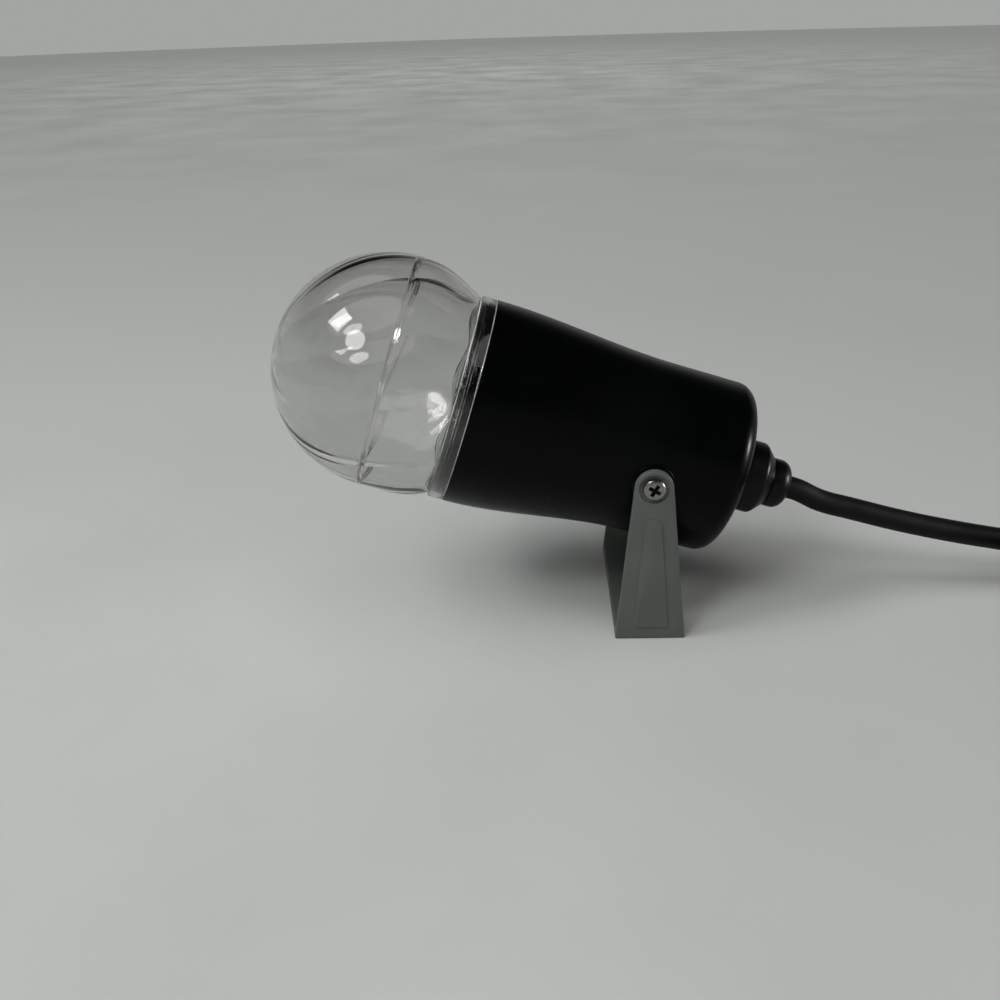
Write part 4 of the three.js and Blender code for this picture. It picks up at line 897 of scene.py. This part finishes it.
def make_plug(plug):
    """The moulded plug: a ribbed strain relief and a gripped body"""
    neck = plug.relief_radius
    slope = plug.rib_slope
    rings = [(0, neck - plug.rib_depth), (2 * slope, neck - plug.edge)]
    for i in range(plug.relief_ribs):
        place = plug.rib_start + i * plug.rib_pitch
        crest = neck - slope + i * plug.rib_growth
        end = place + plug.rib_width
        rings += [(place, crest), (place + slope, crest - plug.rib_depth),
                  (end - slope, crest - plug.rib_depth), (end, crest)]
    rings.append((plug.relief, neck + plug.edge))
    sections = [(place, radius, radius, radius - SKIN / 10) for place, radius in rings]

    wide, high, corner, edge = plug.half_width, plug.half_height, plug.corner, plug.edge
    face = plug.relief + plug.body
    grip = face - plug.grip
    sections += [(plug.relief + along, neck + wider, neck + higher, neck + rounder)
                 for along, wider, higher, rounder in PLUG_SHOULDER]
    sections += [
        (grip - corner, wide - corner, high - corner / 2, 1.25 * corner),
        (grip - plug.ease, wide - 3 * edge, high - plug.ease / 3, corner),
        (grip, wide, high, corner),
    ]
    for i in range(plug.grip_ribs):
        place = grip + plug.rib_start + i * plug.grip_pitch
        sections += [
            (place, wide, high, corner),
            (place + edge, wide - plug.grip_depth, high - plug.grip_drop, corner),
            (place + plug.rib_width, wide - plug.grip_depth, high - plug.grip_drop, corner),
            (place + plug.rib_width + edge, wide, high, corner),
        ]
    sections += [
        (face - plug.rib_depth, wide, high, corner),
        (face - slope, wide - edge, high - edge, corner),
        (face, wide - 3 * edge, high - 3 * edge, corner),
    ]
    body = moved(moulding_of(sections), PLUG_PLACE)
    return piece("plug_moulding", body, "plug_moulding", "stand", ["plug_body"])


def make_blades(plug):
    """Two flat blades with a hole near their tips, and the round earth pin"""
    start = plug.relief + plug.body + plug.seat
    made = []
    for i, way in enumerate((-1, 1)):
        middle = way * plug.blade_spacing / 2
        half = Vector((plug.blade_thickness / 2, plug.blade_width / 2, 0))
        foot = Vector((middle, plug.blade_rise, start))
        blade = block(foot - half, foot + half + Vector((0, 0, plug.blade_length)))
        tip = [edge for edge in blade.edges
               if min(vert.co.z for vert in edge.verts) > start + plug.blade_length / 2]
        bmesh.ops.bevel(blade, geom=tip, offset=plug.tip_corner, offset_type="OFFSET", segments=2,
                        profile=0.5, affect="EDGES", material=-1)
        hole_place = start + plug.blade_length - plug.blade_hole_place
        hole = moved(rod(plug.blade_hole, -3 * OVERRUN, 3 * OVERRUN, 32),
                     Matrix.Rotation(RIGHT_ANGLE, 4, "Y"),
                     Matrix.Translation((middle, plug.blade_rise, hole_place)))
        blade = softened(combined(blade, [hole], "DIFFERENCE"), plug.fine_edge, 2)
        made.append(piece(f"blade_{i + 1}", moved(blade, PLUG_PLACE), "turned_brass", "stand",
                          [f"plug_blade_{i + 1}"]))
    tip = start + plug.pin_length
    outline = [(0, start), (plug.pin_radius, start), (plug.pin_radius, tip, plug.pin_round), (0, tip)]
    pin = turned(outline, 48)
    moved(pin, Matrix.Translation((0, -plug.pin_drop, 0)), PLUG_PLACE)
    made.append(piece("earth_pin", pin, "turned_brass", "stand", ["plug_earth_pin"]))
    return made


def make_tie(lead):
    """A woven strap round the bundle of turns"""
    def reach(whole):
        """How far out the lead passes the tie, after so many whole turns from its start"""
        turn = (lead.start - lead.tie) / FULL_TURN + whole
        return lead.coil_inner + lead.turn_pitch * abs(turn - UPPER_TURNS - REVERSING_TURNS / 2)

    spare = lead.radius + lead.tie_slack
    low = lead.tie_wall
    middle = lead.lower_level + lead.radius
    top = lead.lower_level + lead.layer_pitch + spare
    corners = [
        (reach(2) - spare, low), (reach(4) + spare, low), (reach(4) + spare, middle),
        (reach(0) + spare, top), (reach(1) - spare, top), (reach(2) - spare, middle),
    ]
    half = lead.tie_width / 2
    bm = bmesh.new()
    loop = [bm.verts.new((radius, -half, place)) for radius, place in corners]
    for first, second in zip(loop, loop[1:] + loop[:1]):
        bm.edges.new((first, second))
    bmesh.ops.bevel(bm, geom=bm.verts[:], offset=lead.tie_corner, offset_type="OFFSET", segments=4,
                    profile=0.5, affect="VERTICES", material=-1)
    bmesh.ops.remove_doubles(bm, verts=bm.verts, dist=WELD)
    bmesh.ops.extrude_edge_only(bm, edges=bm.edges)
    for vert in bm.verts[len(bm.verts) // 2:]:
        vert.co.y = half
    bmesh.ops.recalc_face_normals(bm, faces=bm.faces)
    bmesh.ops.solidify(bm, geom=bm.faces, thickness=-lead.tie_wall)
    bmesh.ops.recalc_face_normals(bm, faces=bm.faces)
    softened(bm, lead.tie_edge, 2)
    moved(bm, Matrix.Rotation(lead.tie, 4, "Z"), Matrix.Translation((lead.coil_x, lead.coil_y, 0)))
    return piece("coil_strap", bm, "strap_weave", "stand", ["coil_tie"])


# Head


class PARTYLIGHT_OT_housing(bpy.types.Operator):
    """Makes the black moulded housing, which widens softly to its mouth"""

    bl_idname = "party_light.housing"
    bl_label = "Housing"

    def execute(self, context):
        light = context.scene.party_light
        size = light.housing

        def side(inset, start, end, steps):
            corners = []
            for i in range(steps + 1):
                place = start + (end - start) * i / steps
                swell = ramp(place, size.taper_rear, size.taper_front)
                radius = size.waist_radius + (size.mouth_radius - size.waist_radius) * swell
                corners.append((radius - inset, place))
            return corners

        def corner(inset, floor):
            bend = size.rear_corner - inset
            return arc(size.waist_radius - size.rear_corner, floor + bend, bend, -RIGHT_ANGLE, 0, 14)

        floor = size.rear + size.rear_wall
        outline = [
            (size.gland_hole, size.rear),
            *corner(0, size.rear),
            *side(0, size.taper_rear, size.taper_front, 30),
            (size.mouth_radius, size.front, size.edge),
            (size.spigot_radius, size.front),
            (size.spigot_radius, size.front + size.spigot_length, size.edge),
            (size.bore, size.front + size.spigot_length),
            (size.bore, size.front - size.wall),
            *reversed(side(size.wall, size.taper_rear, size.front - 2 * size.wall, 14)),
            *reversed(corner(size.wall, floor)),
            (size.gland_hole, floor),
        ]
        shell = risen(turned(outline, light.head.steps),
                      lambda place: size.rise * (1 - ramp(place, 0, size.front)))
        joined, cuts = [], []
        for _, way in SIDES:
            out = along_y(way)
            joined.append(moved(turned([
                (0, size.waist_radius - size.wall),
                (size.pad_radius, size.waist_radius - size.wall),
                (size.pad_radius, size.pad_face, size.edge),
                (0, size.pad_face),
            ], light.head.small_steps), out))
            boss_end = size.pad_face - size.boss_length
            boss = rod(size.boss_radius, boss_end, size.pad_face - size.boss_inset)
            hole = rod(size.insert_radius, boss_end - OVERRUN, size.pad_face + OVERRUN)
            joined.append(moved(boss, out))
            cuts.append(moved(hole, out))
        ring = light.ring
        half_notch = ring.lug_width / 2 + ring.lug_room
        notch_end = ring.lug_rear + ring.lug_length + ring.lug_room
        for lug in LUG_ANGLES:
            notch = block((size.spigot_radius - ring.notch_depth, -half_notch, size.front),
                          (size.spigot_radius + OVERRUN, half_notch, notch_end))
            cuts.append(moved(notch, Matrix.Rotation(lug - RIGHT_ANGLE, 4, "Z")))
        shell = combined(combined(shell, joined, "UNION"), cuts, "DIFFERENCE")
        piece("housing_shell", moved(shell, head_matrix(context)), "housing_black", "head",
              ["housing"])
        return {"FINISHED"}


class PARTYLIGHT_OT_ring(bpy.types.Operator):
    """Makes the clear ring that snaps over the housing's mouth and holds the globe"""

    bl_idname = "party_light.ring"
    bl_label = "Clear Ring"

    def edges(self, context, bands):
        """The ring's two thin pale bands: painted highlights, standing for the bright lines where its
        clear edges catch the light
        """
        steps = context.scene.party_light.head.steps
        lines = bmesh.new()
        for band_sizes in bands:
            band = turned(band_outline(*band_sizes), steps)
            mesh = bpy.data.meshes.new("band")
            band.to_mesh(mesh)
            band.free()
            lines.from_mesh(mesh)
            bpy.data.meshes.remove(mesh)
        piece("ring_painted_highlights", moved(lines, head_matrix(context)), "painted_edge_highlight", "head")

    def execute(self, context):
        light = context.scene.party_light
        ring = light.ring
        mouth = light.housing.mouth_radius
        outline = [
            (ring.skirt_inner, ring.rear, ring.skirt_edge),
            (mouth, ring.rear, ring.fine_edge),
            (mouth, ring.front, ring.edge),
            (ring.lip_inner, ring.front, ring.fine_edge),
            (ring.lip_inner, ring.front - ring.lip),
            (ring.skirt_inner, ring.front - ring.lip),
        ]
        lugs = [moved(block(
            (ring.skirt_inner - ring.lug_depth, -ring.lug_width / 2, ring.lug_rear),
            (ring.skirt_inner + ring.lug_root, ring.lug_width / 2, ring.lug_rear + ring.lug_length)),
            Matrix.Rotation(lug - RIGHT_ANGLE, 4, "Z")) for lug in LUG_ANGLES]
        band = combined(turned(outline, light.head.steps), lugs, "UNION")
        to_world = head_matrix(context)
        piece("clear_ring", moved(band, to_world), "clear_ring", "head", ["bezel_ring"])
        neck = light.globe.neck_radius
        # Two pale bands at the ring's rear edge and lip: painted highlights
        self.edges(context, [
            (ring.skirt_inner, mouth - ring.painted_highlight_width / 2, light.housing.front, ring.rear),
            (neck, ring.lip_inner, ring.front - ring.painted_highlight_width, ring.front + ring.painted_highlight_width),
        ])
        section = band_outline(neck - ring.gasket_width, neck, ring.gasket_rear, ring.gasket_front)
        gasket = moved(turned(section, light.head.steps), to_world)
        piece("ring_gasket", gasket, "black_rubber", "head", ["bezel_gasket"])
        return {"FINISHED"}


class PARTYLIGHT_OT_globe(bpy.types.Operator):
    """Makes the two halves of the clear globe, lapped at the seam"""

    bl_idname = "party_light.globe"
    bl_label = "Globe"

    def petalled(self, bm, globe, shoulder):
        """Turns the columns along the ridges' lean and draws the inside in at the ridges"""
        middle = globe.seam
        start = math.asin((shoulder - middle) / globe.radius)
        inside = globe.radius - globe.wall
        for vert in bm.verts:
            place = vert.co.z
            across = math.hypot(vert.co.x, vert.co.y)
            climb = math.asin(min(max((place - middle) / globe.radius, -1), 1))
            along = min(max((climb - start) / (RIGHT_ANGLE - start), 0), 1)
            turn = math.atan2(vert.co.y, vert.co.x)
            beyond = max(middle - globe.band - place, place - middle - globe.gap, 0)
            if math.hypot(across, beyond) < inside + SKIN:
                lobe = (turn * globe.petals / FULL_TURN) % 1
                height = globe.ridge * across * ramp(place, shoulder, shoulder + globe.ridge_start)
                across -= height * (2 * lobe - 1) ** 2
            turn += globe.first_ridge + globe.lean * along * (1 + along) / 2
            vert.co.x = across * math.cos(turn)
            vert.co.y = across * math.sin(turn)
        return bm

    def execute(self, context):
        light = context.scene.party_light
        globe = light.globe
        inner = globe.radius - globe.wall
        middle = globe.radius - globe.wall / 2
        half_gap = globe.gap / 2
        rear_centre = globe.seam - globe.band
        shoulder = globe.neck_rear + globe.neck_length
        neck_inner = globe.neck_radius - globe.wall
        start = math.asin((shoulder - rear_centre) / globe.radius)
        rear = [
            (neck_inner, globe.neck_rear),
            (light.housing.spigot_radius, globe.neck_rear),
            (light.housing.spigot_radius, globe.neck_rear + globe.flange),
            (globe.neck_radius, globe.neck_rear + globe.flange),
            (globe.neck_radius, shoulder),
            *arc(0, rear_centre, globe.radius, start, 0, 16),
            (globe.radius, globe.seam - globe.bead_length),
            (globe.radius + globe.bead, globe.seam - globe.bead_length / 2, globe.bead_edge),
            (globe.radius, globe.seam),
            (middle - half_gap, globe.seam),
            (middle - half_gap, globe.seam + globe.tongue),
            (inner, globe.seam + globe.tongue),
            *arc(0, rear_centre, inner, 0, -math.acos(neck_inner / inner), 14),
        ]
        front_place = globe.seam + globe.gap
        edge = globe.seam + globe.tongue + globe.gap
        front = [
            (0, front_place + globe.radius),
            *arc(0, front_place, globe.radius, RIGHT_ANGLE, 0, 48)[1:-1],
            (globe.radius, front_place + globe.bead_length),
            (globe.radius + globe.bead, front_place + globe.bead_length / 2, globe.bead_edge),
            (globe.radius, front_place),
            (middle + half_gap, front_place),
            (middle + half_gap, edge),
            *arc(0, front_place, inner, math.asin((edge - front_place) / inner), RIGHT_ANGLE, 44)[:-1],
            (0, front_place + inner),
        ]
        to_world = head_matrix(context)
        for name, outline in (("rear", rear), ("front", front)):
            shell = self.petalled(turned(outline, globe.petals * globe.columns), globe, shoulder)
            shell = risen(shell, lambda place: globe.rise * ramp(place, shoulder, rear_centre))
            piece(f"globe_shell_{name}", moved(shell, to_world), "clear_shell", "head",
                  [f"globe_{name}"], LOBE_EDGE_ANGLE)
        return {"FINISHED"}


class PARTYLIGHT_OT_gland(bpy.types.Operator):
    """Makes the cable gland's flanged body and domed nut"""

    bl_idname = "party_light.gland"
    bl_label = "Cable Gland"

    def execute(self, context):
        light = context.scene.party_light
        gland = light.gland
        gap = light.globe.gap
        rear = light.housing.rear - gap
        bevel_end = rear - gland.flange_length
        shoulder = bevel_end - gland.bevel_length
        bore = light.lead.radius + gap
        body = turned([
            (bore, rear + gland.thread_length),
            (gland.thread_radius, rear + gland.thread_length, gland.edge),
            (gland.thread_radius, rear),
            (gland.flange_radius, rear, gland.flange_edge),
            (gland.flange_radius, bevel_end, gland.bevel_edge),
            (gland.shoulder, shoulder, gland.edge),
            (gland.seal_radius, shoulder),
            (gland.seal_radius, rear - gap),
            (bore, rear - gap),
        ], light.head.steps)
        nut_rear = shoulder - gap
        end = nut_rear - gland.nut_length
        dome = arc(gland.nut_radius - gland.nut_round, end + gland.nut_round, gland.nut_round,
                   0, -RIGHT_ANGLE, 16)
        nut = turned([
            (gland.seal_radius, nut_rear),
            (gland.nut_radius, nut_rear, gland.edge),
            *dome,
            (gland.nut_mouth, end),
            (gland.nut_mouth, end + gland.nut_round),
            (gland.seal_radius, end + gland.nut_round),
        ], light.head.steps)
        to_world = head_matrix(context) @ Matrix.Translation((light.housing.rise, 0, 0))
        piece("gland_flange", moved(body, to_world), "black_nylon", "head", ["gland_body"])
        piece("gland_dome", moved(nut, to_world), "black_nylon", "head", ["gland_nut"])
        return {"FINISHED"}


# Bracket and pivots


class PARTYLIGHT_OT_bracket(bpy.types.Operator):
    """Makes the painted U bracket, with a raised panel and a dish on each arm"""

    bl_idname = "party_light.bracket"
    bl_label = "Bracket"

    def tapered(self, radius, top, half_foot, foot, start, end, corner=0):
        """A plate across Y with a straight foot and a round top, as the hull of both"""
        bm = bmesh.new()
        for place in (start, end):
            standing = Matrix.Translation((0, place, top)) @ Matrix.Rotation(RIGHT_ANGLE, 4, "X")
            bmesh.ops.create_circle(bm, cap_ends=False, segments=72, radius=radius, matrix=standing)
            for way in (-1, 1):
                bm.verts.new((way * half_foot, place, foot))
        hull = bmesh.ops.convex_hull(bm, input=bm.verts, use_existing_faces=False)
        loose = [vert for vert in hull["geom_interior"] + hull["geom_unused"]
                 if isinstance(vert, bmesh.types.BMVert)]
        bmesh.ops.delete(bm, geom=loose, context="VERTS")
        bmesh.ops.dissolve_limit(bm, angle_limit=FLAT_ANGLE, verts=bm.verts, edges=bm.edges)
        if corner:
            low = [edge for edge in bm.edges
                   if all(abs(vert.co.z - foot) < WELD for vert in edge.verts)
                   and abs(edge.verts[0].co.y - edge.verts[1].co.y) > abs(end - start) / 2]
            bmesh.ops.bevel(bm, geom=low, offset=corner, offset_type="OFFSET", segments=8, profile=0.5,
                            affect="EDGES", material=-1)
        bmesh.ops.recalc_face_normals(bm, faces=bm.faces)
        return bm

    def execute(self, context):
        size = context.scene.party_light.bracket
        small_steps = context.scene.party_light.head.small_steps
        height = TILT_AXIS.z
        half = size.span / 2
        half_foot = size.foot_width / 2
        inner = half - size.wall
        top = height + size.arch_radius
        u = bmesh.new()
        corners = [u.verts.new((-half_foot, y, z)) for y, z in (
            (-half, 0), (half, 0), (half, top), (inner, top), (inner, size.wall), (-inner, size.wall),
            (-inner, top), (-half, top))]
        u.faces.new(corners)
        bmesh.ops.bevel(u, geom=corners[4:6], offset=size.fillet, offset_type="OFFSET", segments=8,
                        profile=0.5, affect="VERTICES", material=-1)
        pushed = bmesh.ops.extrude_face_region(u, geom=u.faces[:], use_keep_orig=True)
        bmesh.ops.translate(u, vec=(size.foot_width, 0, 0),
                            verts=[v for v in pushed["geom"] if isinstance(v, bmesh.types.BMVert)])
        bmesh.ops.recalc_face_normals(u, faces=u.faces)
        outline = self.tapered(size.arch_radius, height, half_foot, 0, -half - OVERRUN, half + OVERRUN)
        plate = softened(combined(u, [outline], "INTERSECT"), size.edge)

        def arm_half(place):
            return half_foot - (half_foot - size.arch_radius) * place / height

        panel_round = arm_half(size.panel_top) - size.panel_top_margin
        panel_half = arm_half(size.panel_foot) - size.panel_margin
        panels, cuts = [], []
        for _, way in SIDES:
            low, high = sorted((way * (half - size.panel_root), way * (half + size.panel_height)))
            panels.append(self.tapered(panel_round, size.panel_top - panel_round, panel_half,
                                       size.panel_foot, low, high, size.panel_corner))
            at_pivot = Matrix.Translation(TILT_AXIS) @ along_y(way)
            at_wall_hole = Matrix.Translation((0, way * size.wall_hole_spacing / 2, 0))
            dish = rod(size.dish_radius, half - size.dish_depth, half + OVERRUN, small_steps)
            pivot_hole = rod(size.pivot_hole, inner - OVERRUN, half + 2 * OVERRUN)
            wall_hole = rod(size.wall_hole, -OVERRUN, size.wall + OVERRUN)
            cuts += [moved(dish, at_pivot), moved(pivot_hole, at_pivot), moved(wall_hole, at_wall_hole)]
        plate = combined(combined(plate, panels, "UNION"), cuts, "DIFFERENCE")
        plate = softened(plate, size.fine_edge)
        piece("bracket_u", plate, "bracket_paint", "stand", ["bracket"])
        return {"FINISHED"}


# The pan head's side: shares of its radius and of its height, and the rounding there
PAN = ((1, 0.42, 0.0005), (0.88, 0.74, 0.0005), (0.62, 0.93, 0.0006))
CROSS_NARROWING = (0.8, 0.9, 1)  # of a slot's floor against its mouth


class PARTYLIGHT_OT_pivots(bpy.types.Operator):
    """Makes the pivot screws with their driver's cross, and the friction washers"""

    bl_idname = "party_light.pivots"
    bl_label = "Pivot Screws"

    def execute(self, context):
        light = context.scene.party_light
        pivot = light.pivot
        seat = light.bracket.span / 2 - light.bracket.dish_depth + pivot.gap
        top = seat + pivot.head_height
        reach = pivot.head_radius * pivot.cross_reach
        floor = top - pivot.cross_depth
        for side, way in SIDES:
            place = head_matrix(context) @ along_y(way)
            head = turned([
                (0, seat - pivot.shank_length),
                (pivot.shank_radius, seat - pivot.shank_length, pivot.tip_edge),
                (pivot.shank_radius, seat),
                (pivot.head_radius, seat, pivot.foot_edge),
                *[(pivot.head_radius * across, seat + pivot.head_height * up, edge)
                  for across, up, edge in PAN],
                (0, top),
            ], light.head.small_steps)
            slots = []
            for turn in (0, RIGHT_ANGLE):
                slot = block((-reach, -pivot.cross_width / 2, floor),
                             (reach, pivot.cross_width / 2, top + OVERRUN))
                low = [vert for vert in slot.verts if vert.co.z < top - pivot.cross_depth / 2]
                bmesh.ops.scale(slot, vec=CROSS_NARROWING, verts=low)
                slots.append(moved(slot, Matrix.Rotation(turn + pivot.cross_turn, 4, "Z")))
            head = softened(combined(head, slots, "DIFFERENCE"), pivot.cross_edge, 2)
            # The cross's floor and lower walls take the near black second finish: painted shade in the
            # slots
            for face in head.faces:
                middle = face.calc_center_median()
                within = math.hypot(middle.x, middle.y) < reach + SKIN
                if within and floor - SKIN < middle.z < top - pivot.cross_depth / 4:
                    face.material_index = 1
            pan = piece(f"pivot_pan_{side}", moved(head, place), "bright_nickel", "head",
                        [f"pivot_screw_{side}"])
            pan.data.materials.append(bpy.data.materials["painted_shade_recess"])
            start = light.housing.pad_face + pivot.gap
            washer = turned([
                (light.bracket.pivot_hole, start),
                (pivot.washer_radius, start, pivot.washer_edge),
                (pivot.washer_radius, start + pivot.washer, pivot.washer_edge),
                (light.bracket.pivot_hole, start + pivot.washer),
            ], light.head.small_steps)
            piece(f"friction_washer_{side}", moved(washer, place), "black_nylon", "head",
                  [f"pivot_washer_{side}"])
        return {"FINISHED"}


# Pieces whose solids keep their own shape

KEPT = {
    "clear_lens": ("disco_lens", "collimator"),
    "plain_steel": ("lens_shaft", "motor_body", "motor_screw_1", "motor_screw_2", "chassis_screw_1",
                    "chassis_screw_2", "chassis_screw_3", "led_board_screw_1", "led_board_screw_2",
                    "tray_screw_1", "tray_screw_2"),
    "bright_nickel": ("lens_cap_nut",),
    "bare_aluminium": ("heat_sink", "chassis_tray"),
    "white_board": ("led_board", "terminal_block"),
    "emitter_red": ("led_red",),
    "emitter_green": ("led_green",),
    "emitter_blue": ("led_blue",),
    "emitter_white": ("led_white",),
    "laminations": ("transformer_core",),
    "copper_winding": ("transformer_winding", "choke"),
    "fibre_board": ("driver_board",),
    "black_nylon": ("capacitor", "gland_locknut"),
    "black_rubber": ("gland_seal",),
    "wire_brown": ("lead_line",),
    "wire_blue": ("lead_neutral",),
    "wire_green": ("lead_earth",),
    "turned_brass": ("pivot_insert_near", "pivot_insert_far"),
}


class PARTYLIGHT_OT_works(bpy.types.Operator):
    """Gives the lens, its drive, the light engine and the wiring their finishes"""

    bl_idname = "party_light.works"
    bl_label = "Inner Works"

    def execute(self, context):
        for finish, names in KEPT.items():
            for name in names:
                for slot in NODES[name].material_slots:
                    slot.material = bpy.data.materials[finish]
        return {"FINISHED"}


# Stage

# Where the photograph's two gleams lie on the globe, in pixels
SQUARE_GLEAM = (340, 319.5)
ROUND_GLEAM = (355, 340)

SUN_PLACE = (-0.6, -0.8, 2.4)
SIDE_LAMP_PLACE = (1.5, -0.2, 0.37)
REAR_CORNER = (0.05, -0.03, 0.05)


def mirror_place(context, column, row, distance):
    """Where a lamp has to hang for its reflection to show on the globe at a place in the picture"""
    light = context.scene.party_light
    camera = context.scene.camera
    eye = camera.matrix_world.translation
    focal = camera.data.lens / camera.data.sensor_width
    across, up = column / PICTURE_SIDE - 0.5, 0.5 - row / PICTURE_SIDE
    look = (camera.matrix_world.to_3x3() @ Vector((across, up, -focal))).normalized()
    centre = head_matrix(context) @ Vector((light.globe.rise, 0, light.globe.seam + light.globe.gap))
    away = eye - centre
    along = look.dot(away)
    reach = -along - math.sqrt(along * along - away.length_squared + light.globe.radius ** 2)
    hit = eye + look * reach
    normal = (hit - centre).normalized()
    return hit, hit + look.reflect(normal) * distance


class PARTYLIGHT_OT_stage(bpy.types.Operator):
    """Lays the floor and hangs the lamps"""

    bl_idname = "party_light.stage"
    bl_label = "Floor and Lamps"

    def lamp(self, context, kind, name, place, target, **values):
        """A lamp that points at the target and that the camera doesn't see"""
        data = bpy.data.lights.new(name, kind)
        for key, value in values.items():
            setattr(data, key, value)
        made = bpy.data.objects.new(name, data)
        facing = (Vector(target) - Vector(place)).to_track_quat("-Z", "Y").to_matrix().to_4x4()
        made.matrix_world = Matrix.Translation(place) @ facing
        made.visible_camera = False
        context.scene.collection.objects.link(made)
        return made

    def execute(self, context):
        light = context.scene.party_light
        stage = light.stage
        bm = bmesh.new()
        bmesh.ops.create_circle(bm, cap_ends=True, segments=96, radius=stage.floor_radius)
        mesh = bpy.data.meshes.new("floor")
        bm.to_mesh(mesh)
        bm.free()
        mesh.materials.append(bpy.data.materials["floor"])
        floor = bpy.data.objects.new("floor", mesh)
        context.scene.collection.objects.link(floor)

        sun = self.lamp(context, "SUN", "soft_sun", SUN_PLACE, (0, 0, 0),
                        energy=stage.soft_sun, angle=stage.sun_spread)
        sun.visible_glossy = False
        for name, shape, fill, size, pixel in (
                ("square_lamp", "SQUARE", 1, stage.square_lamp, SQUARE_GLEAM),
                ("round_lamp", "DISK", math.pi / 4, stage.round_lamp, ROUND_GLEAM)):
            hit, place = mirror_place(context, *pixel, stage.lamp_distance)
            self.lamp(context, "AREA", name, place, hit, shape=shape, size=size,
                      energy=stage.lamp_level * math.pi * fill * size ** 2)
        side = self.lamp(context, "AREA", "side_lamp", SIDE_LAMP_PLACE, REAR_CORNER, shape="SQUARE",
                         size=stage.side_lamp, energy=stage.side_level * math.pi * stage.side_lamp ** 2)
        side.visible_diffuse = False
        side.visible_transmission = False

        world = bpy.data.worlds.new("studio")
        world.use_nodes = True
        tree = world.node_tree
        background = tree.nodes["Background"]
        background.inputs["Color"].default_value = light.colours.sky
        coordinates = tree.nodes.new("ShaderNodeTexCoord")
        split = tree.nodes.new("ShaderNodeSeparateXYZ")
        fade = tree.nodes.new("ShaderNodeMapRange")
        fade.interpolation_type = "SMOOTHSTEP"
        fade.inputs["From Min"].default_value = stage.sky_fade
        fade.inputs["From Max"].default_value = stage.sky_dark
        fade.inputs["To Min"].default_value = stage.sky_light
        fade.inputs["To Max"].default_value = stage.sky_top
        tree.links.new(coordinates.outputs["Generated"], split.inputs["Vector"])
        tree.links.new(split.outputs["Z"], fade.inputs["Value"])
        tree.links.new(fade.outputs["Result"], background.inputs["Strength"])
        context.scene.world = world
        context.scene.view_settings.view_transform = "Standard"
        return {"FINISHED"}


class PARTYLIGHT_PT_panel(bpy.types.Panel):
    """Lists the pieces in the order in which they are made, and the sizes and colours"""

    bl_idname = "PARTYLIGHT_PT_panel"
    bl_label = "Party Light"
    bl_space_type = "VIEW_3D"
    bl_region_type = "UI"
    bl_category = "Party Light"

    def draw(self, context):
        for operator in OPERATORS:
            self.layout.operator(operator.bl_idname)
        for group in PARTYLIGHT_PG_light.__annotations__:
            box = self.layout.box()
            box.label(text=group.capitalize())
            values = getattr(context.scene.party_light, group)
            for name in values.bl_rna.properties.keys():
                if name not in ("name", "rna_type"):
                    box.prop(values, name)


GROUPS = (
    PARTYLIGHT_PG_head, PARTYLIGHT_PG_housing, PARTYLIGHT_PG_ring, PARTYLIGHT_PG_globe,
    PARTYLIGHT_PG_bracket, PARTYLIGHT_PG_pivot, PARTYLIGHT_PG_gland, PARTYLIGHT_PG_lead,
    PARTYLIGHT_PG_plug, PARTYLIGHT_PG_colours, PARTYLIGHT_PG_stage, PARTYLIGHT_PG_light,
)
OPERATORS = (
    PARTYLIGHT_OT_camera, PARTYLIGHT_OT_finishes, PARTYLIGHT_OT_lead, PARTYLIGHT_OT_housing,
    PARTYLIGHT_OT_ring, PARTYLIGHT_OT_globe, PARTYLIGHT_OT_gland, PARTYLIGHT_OT_bracket,
    PARTYLIGHT_OT_pivots, PARTYLIGHT_OT_works, PARTYLIGHT_OT_stage,
)


def register():
    for kind in (*GROUPS, *OPERATORS, PARTYLIGHT_PT_panel):
        bpy.utils.register_class(kind)
    bpy.types.Scene.party_light = PointerProperty(type=PARTYLIGHT_PG_light)


def unregister():
    del bpy.types.Scene.party_light
    for kind in reversed((*GROUPS, *OPERATORS, PARTYLIGHT_PT_panel)):
        bpy.utils.unregister_class(kind)


def main():
    register()
    for operator in OPERATORS:
        name = operator.bl_idname.split(".")[1]
        getattr(bpy.ops.party_light, name)()


if __name__ == "__main__":
    main()
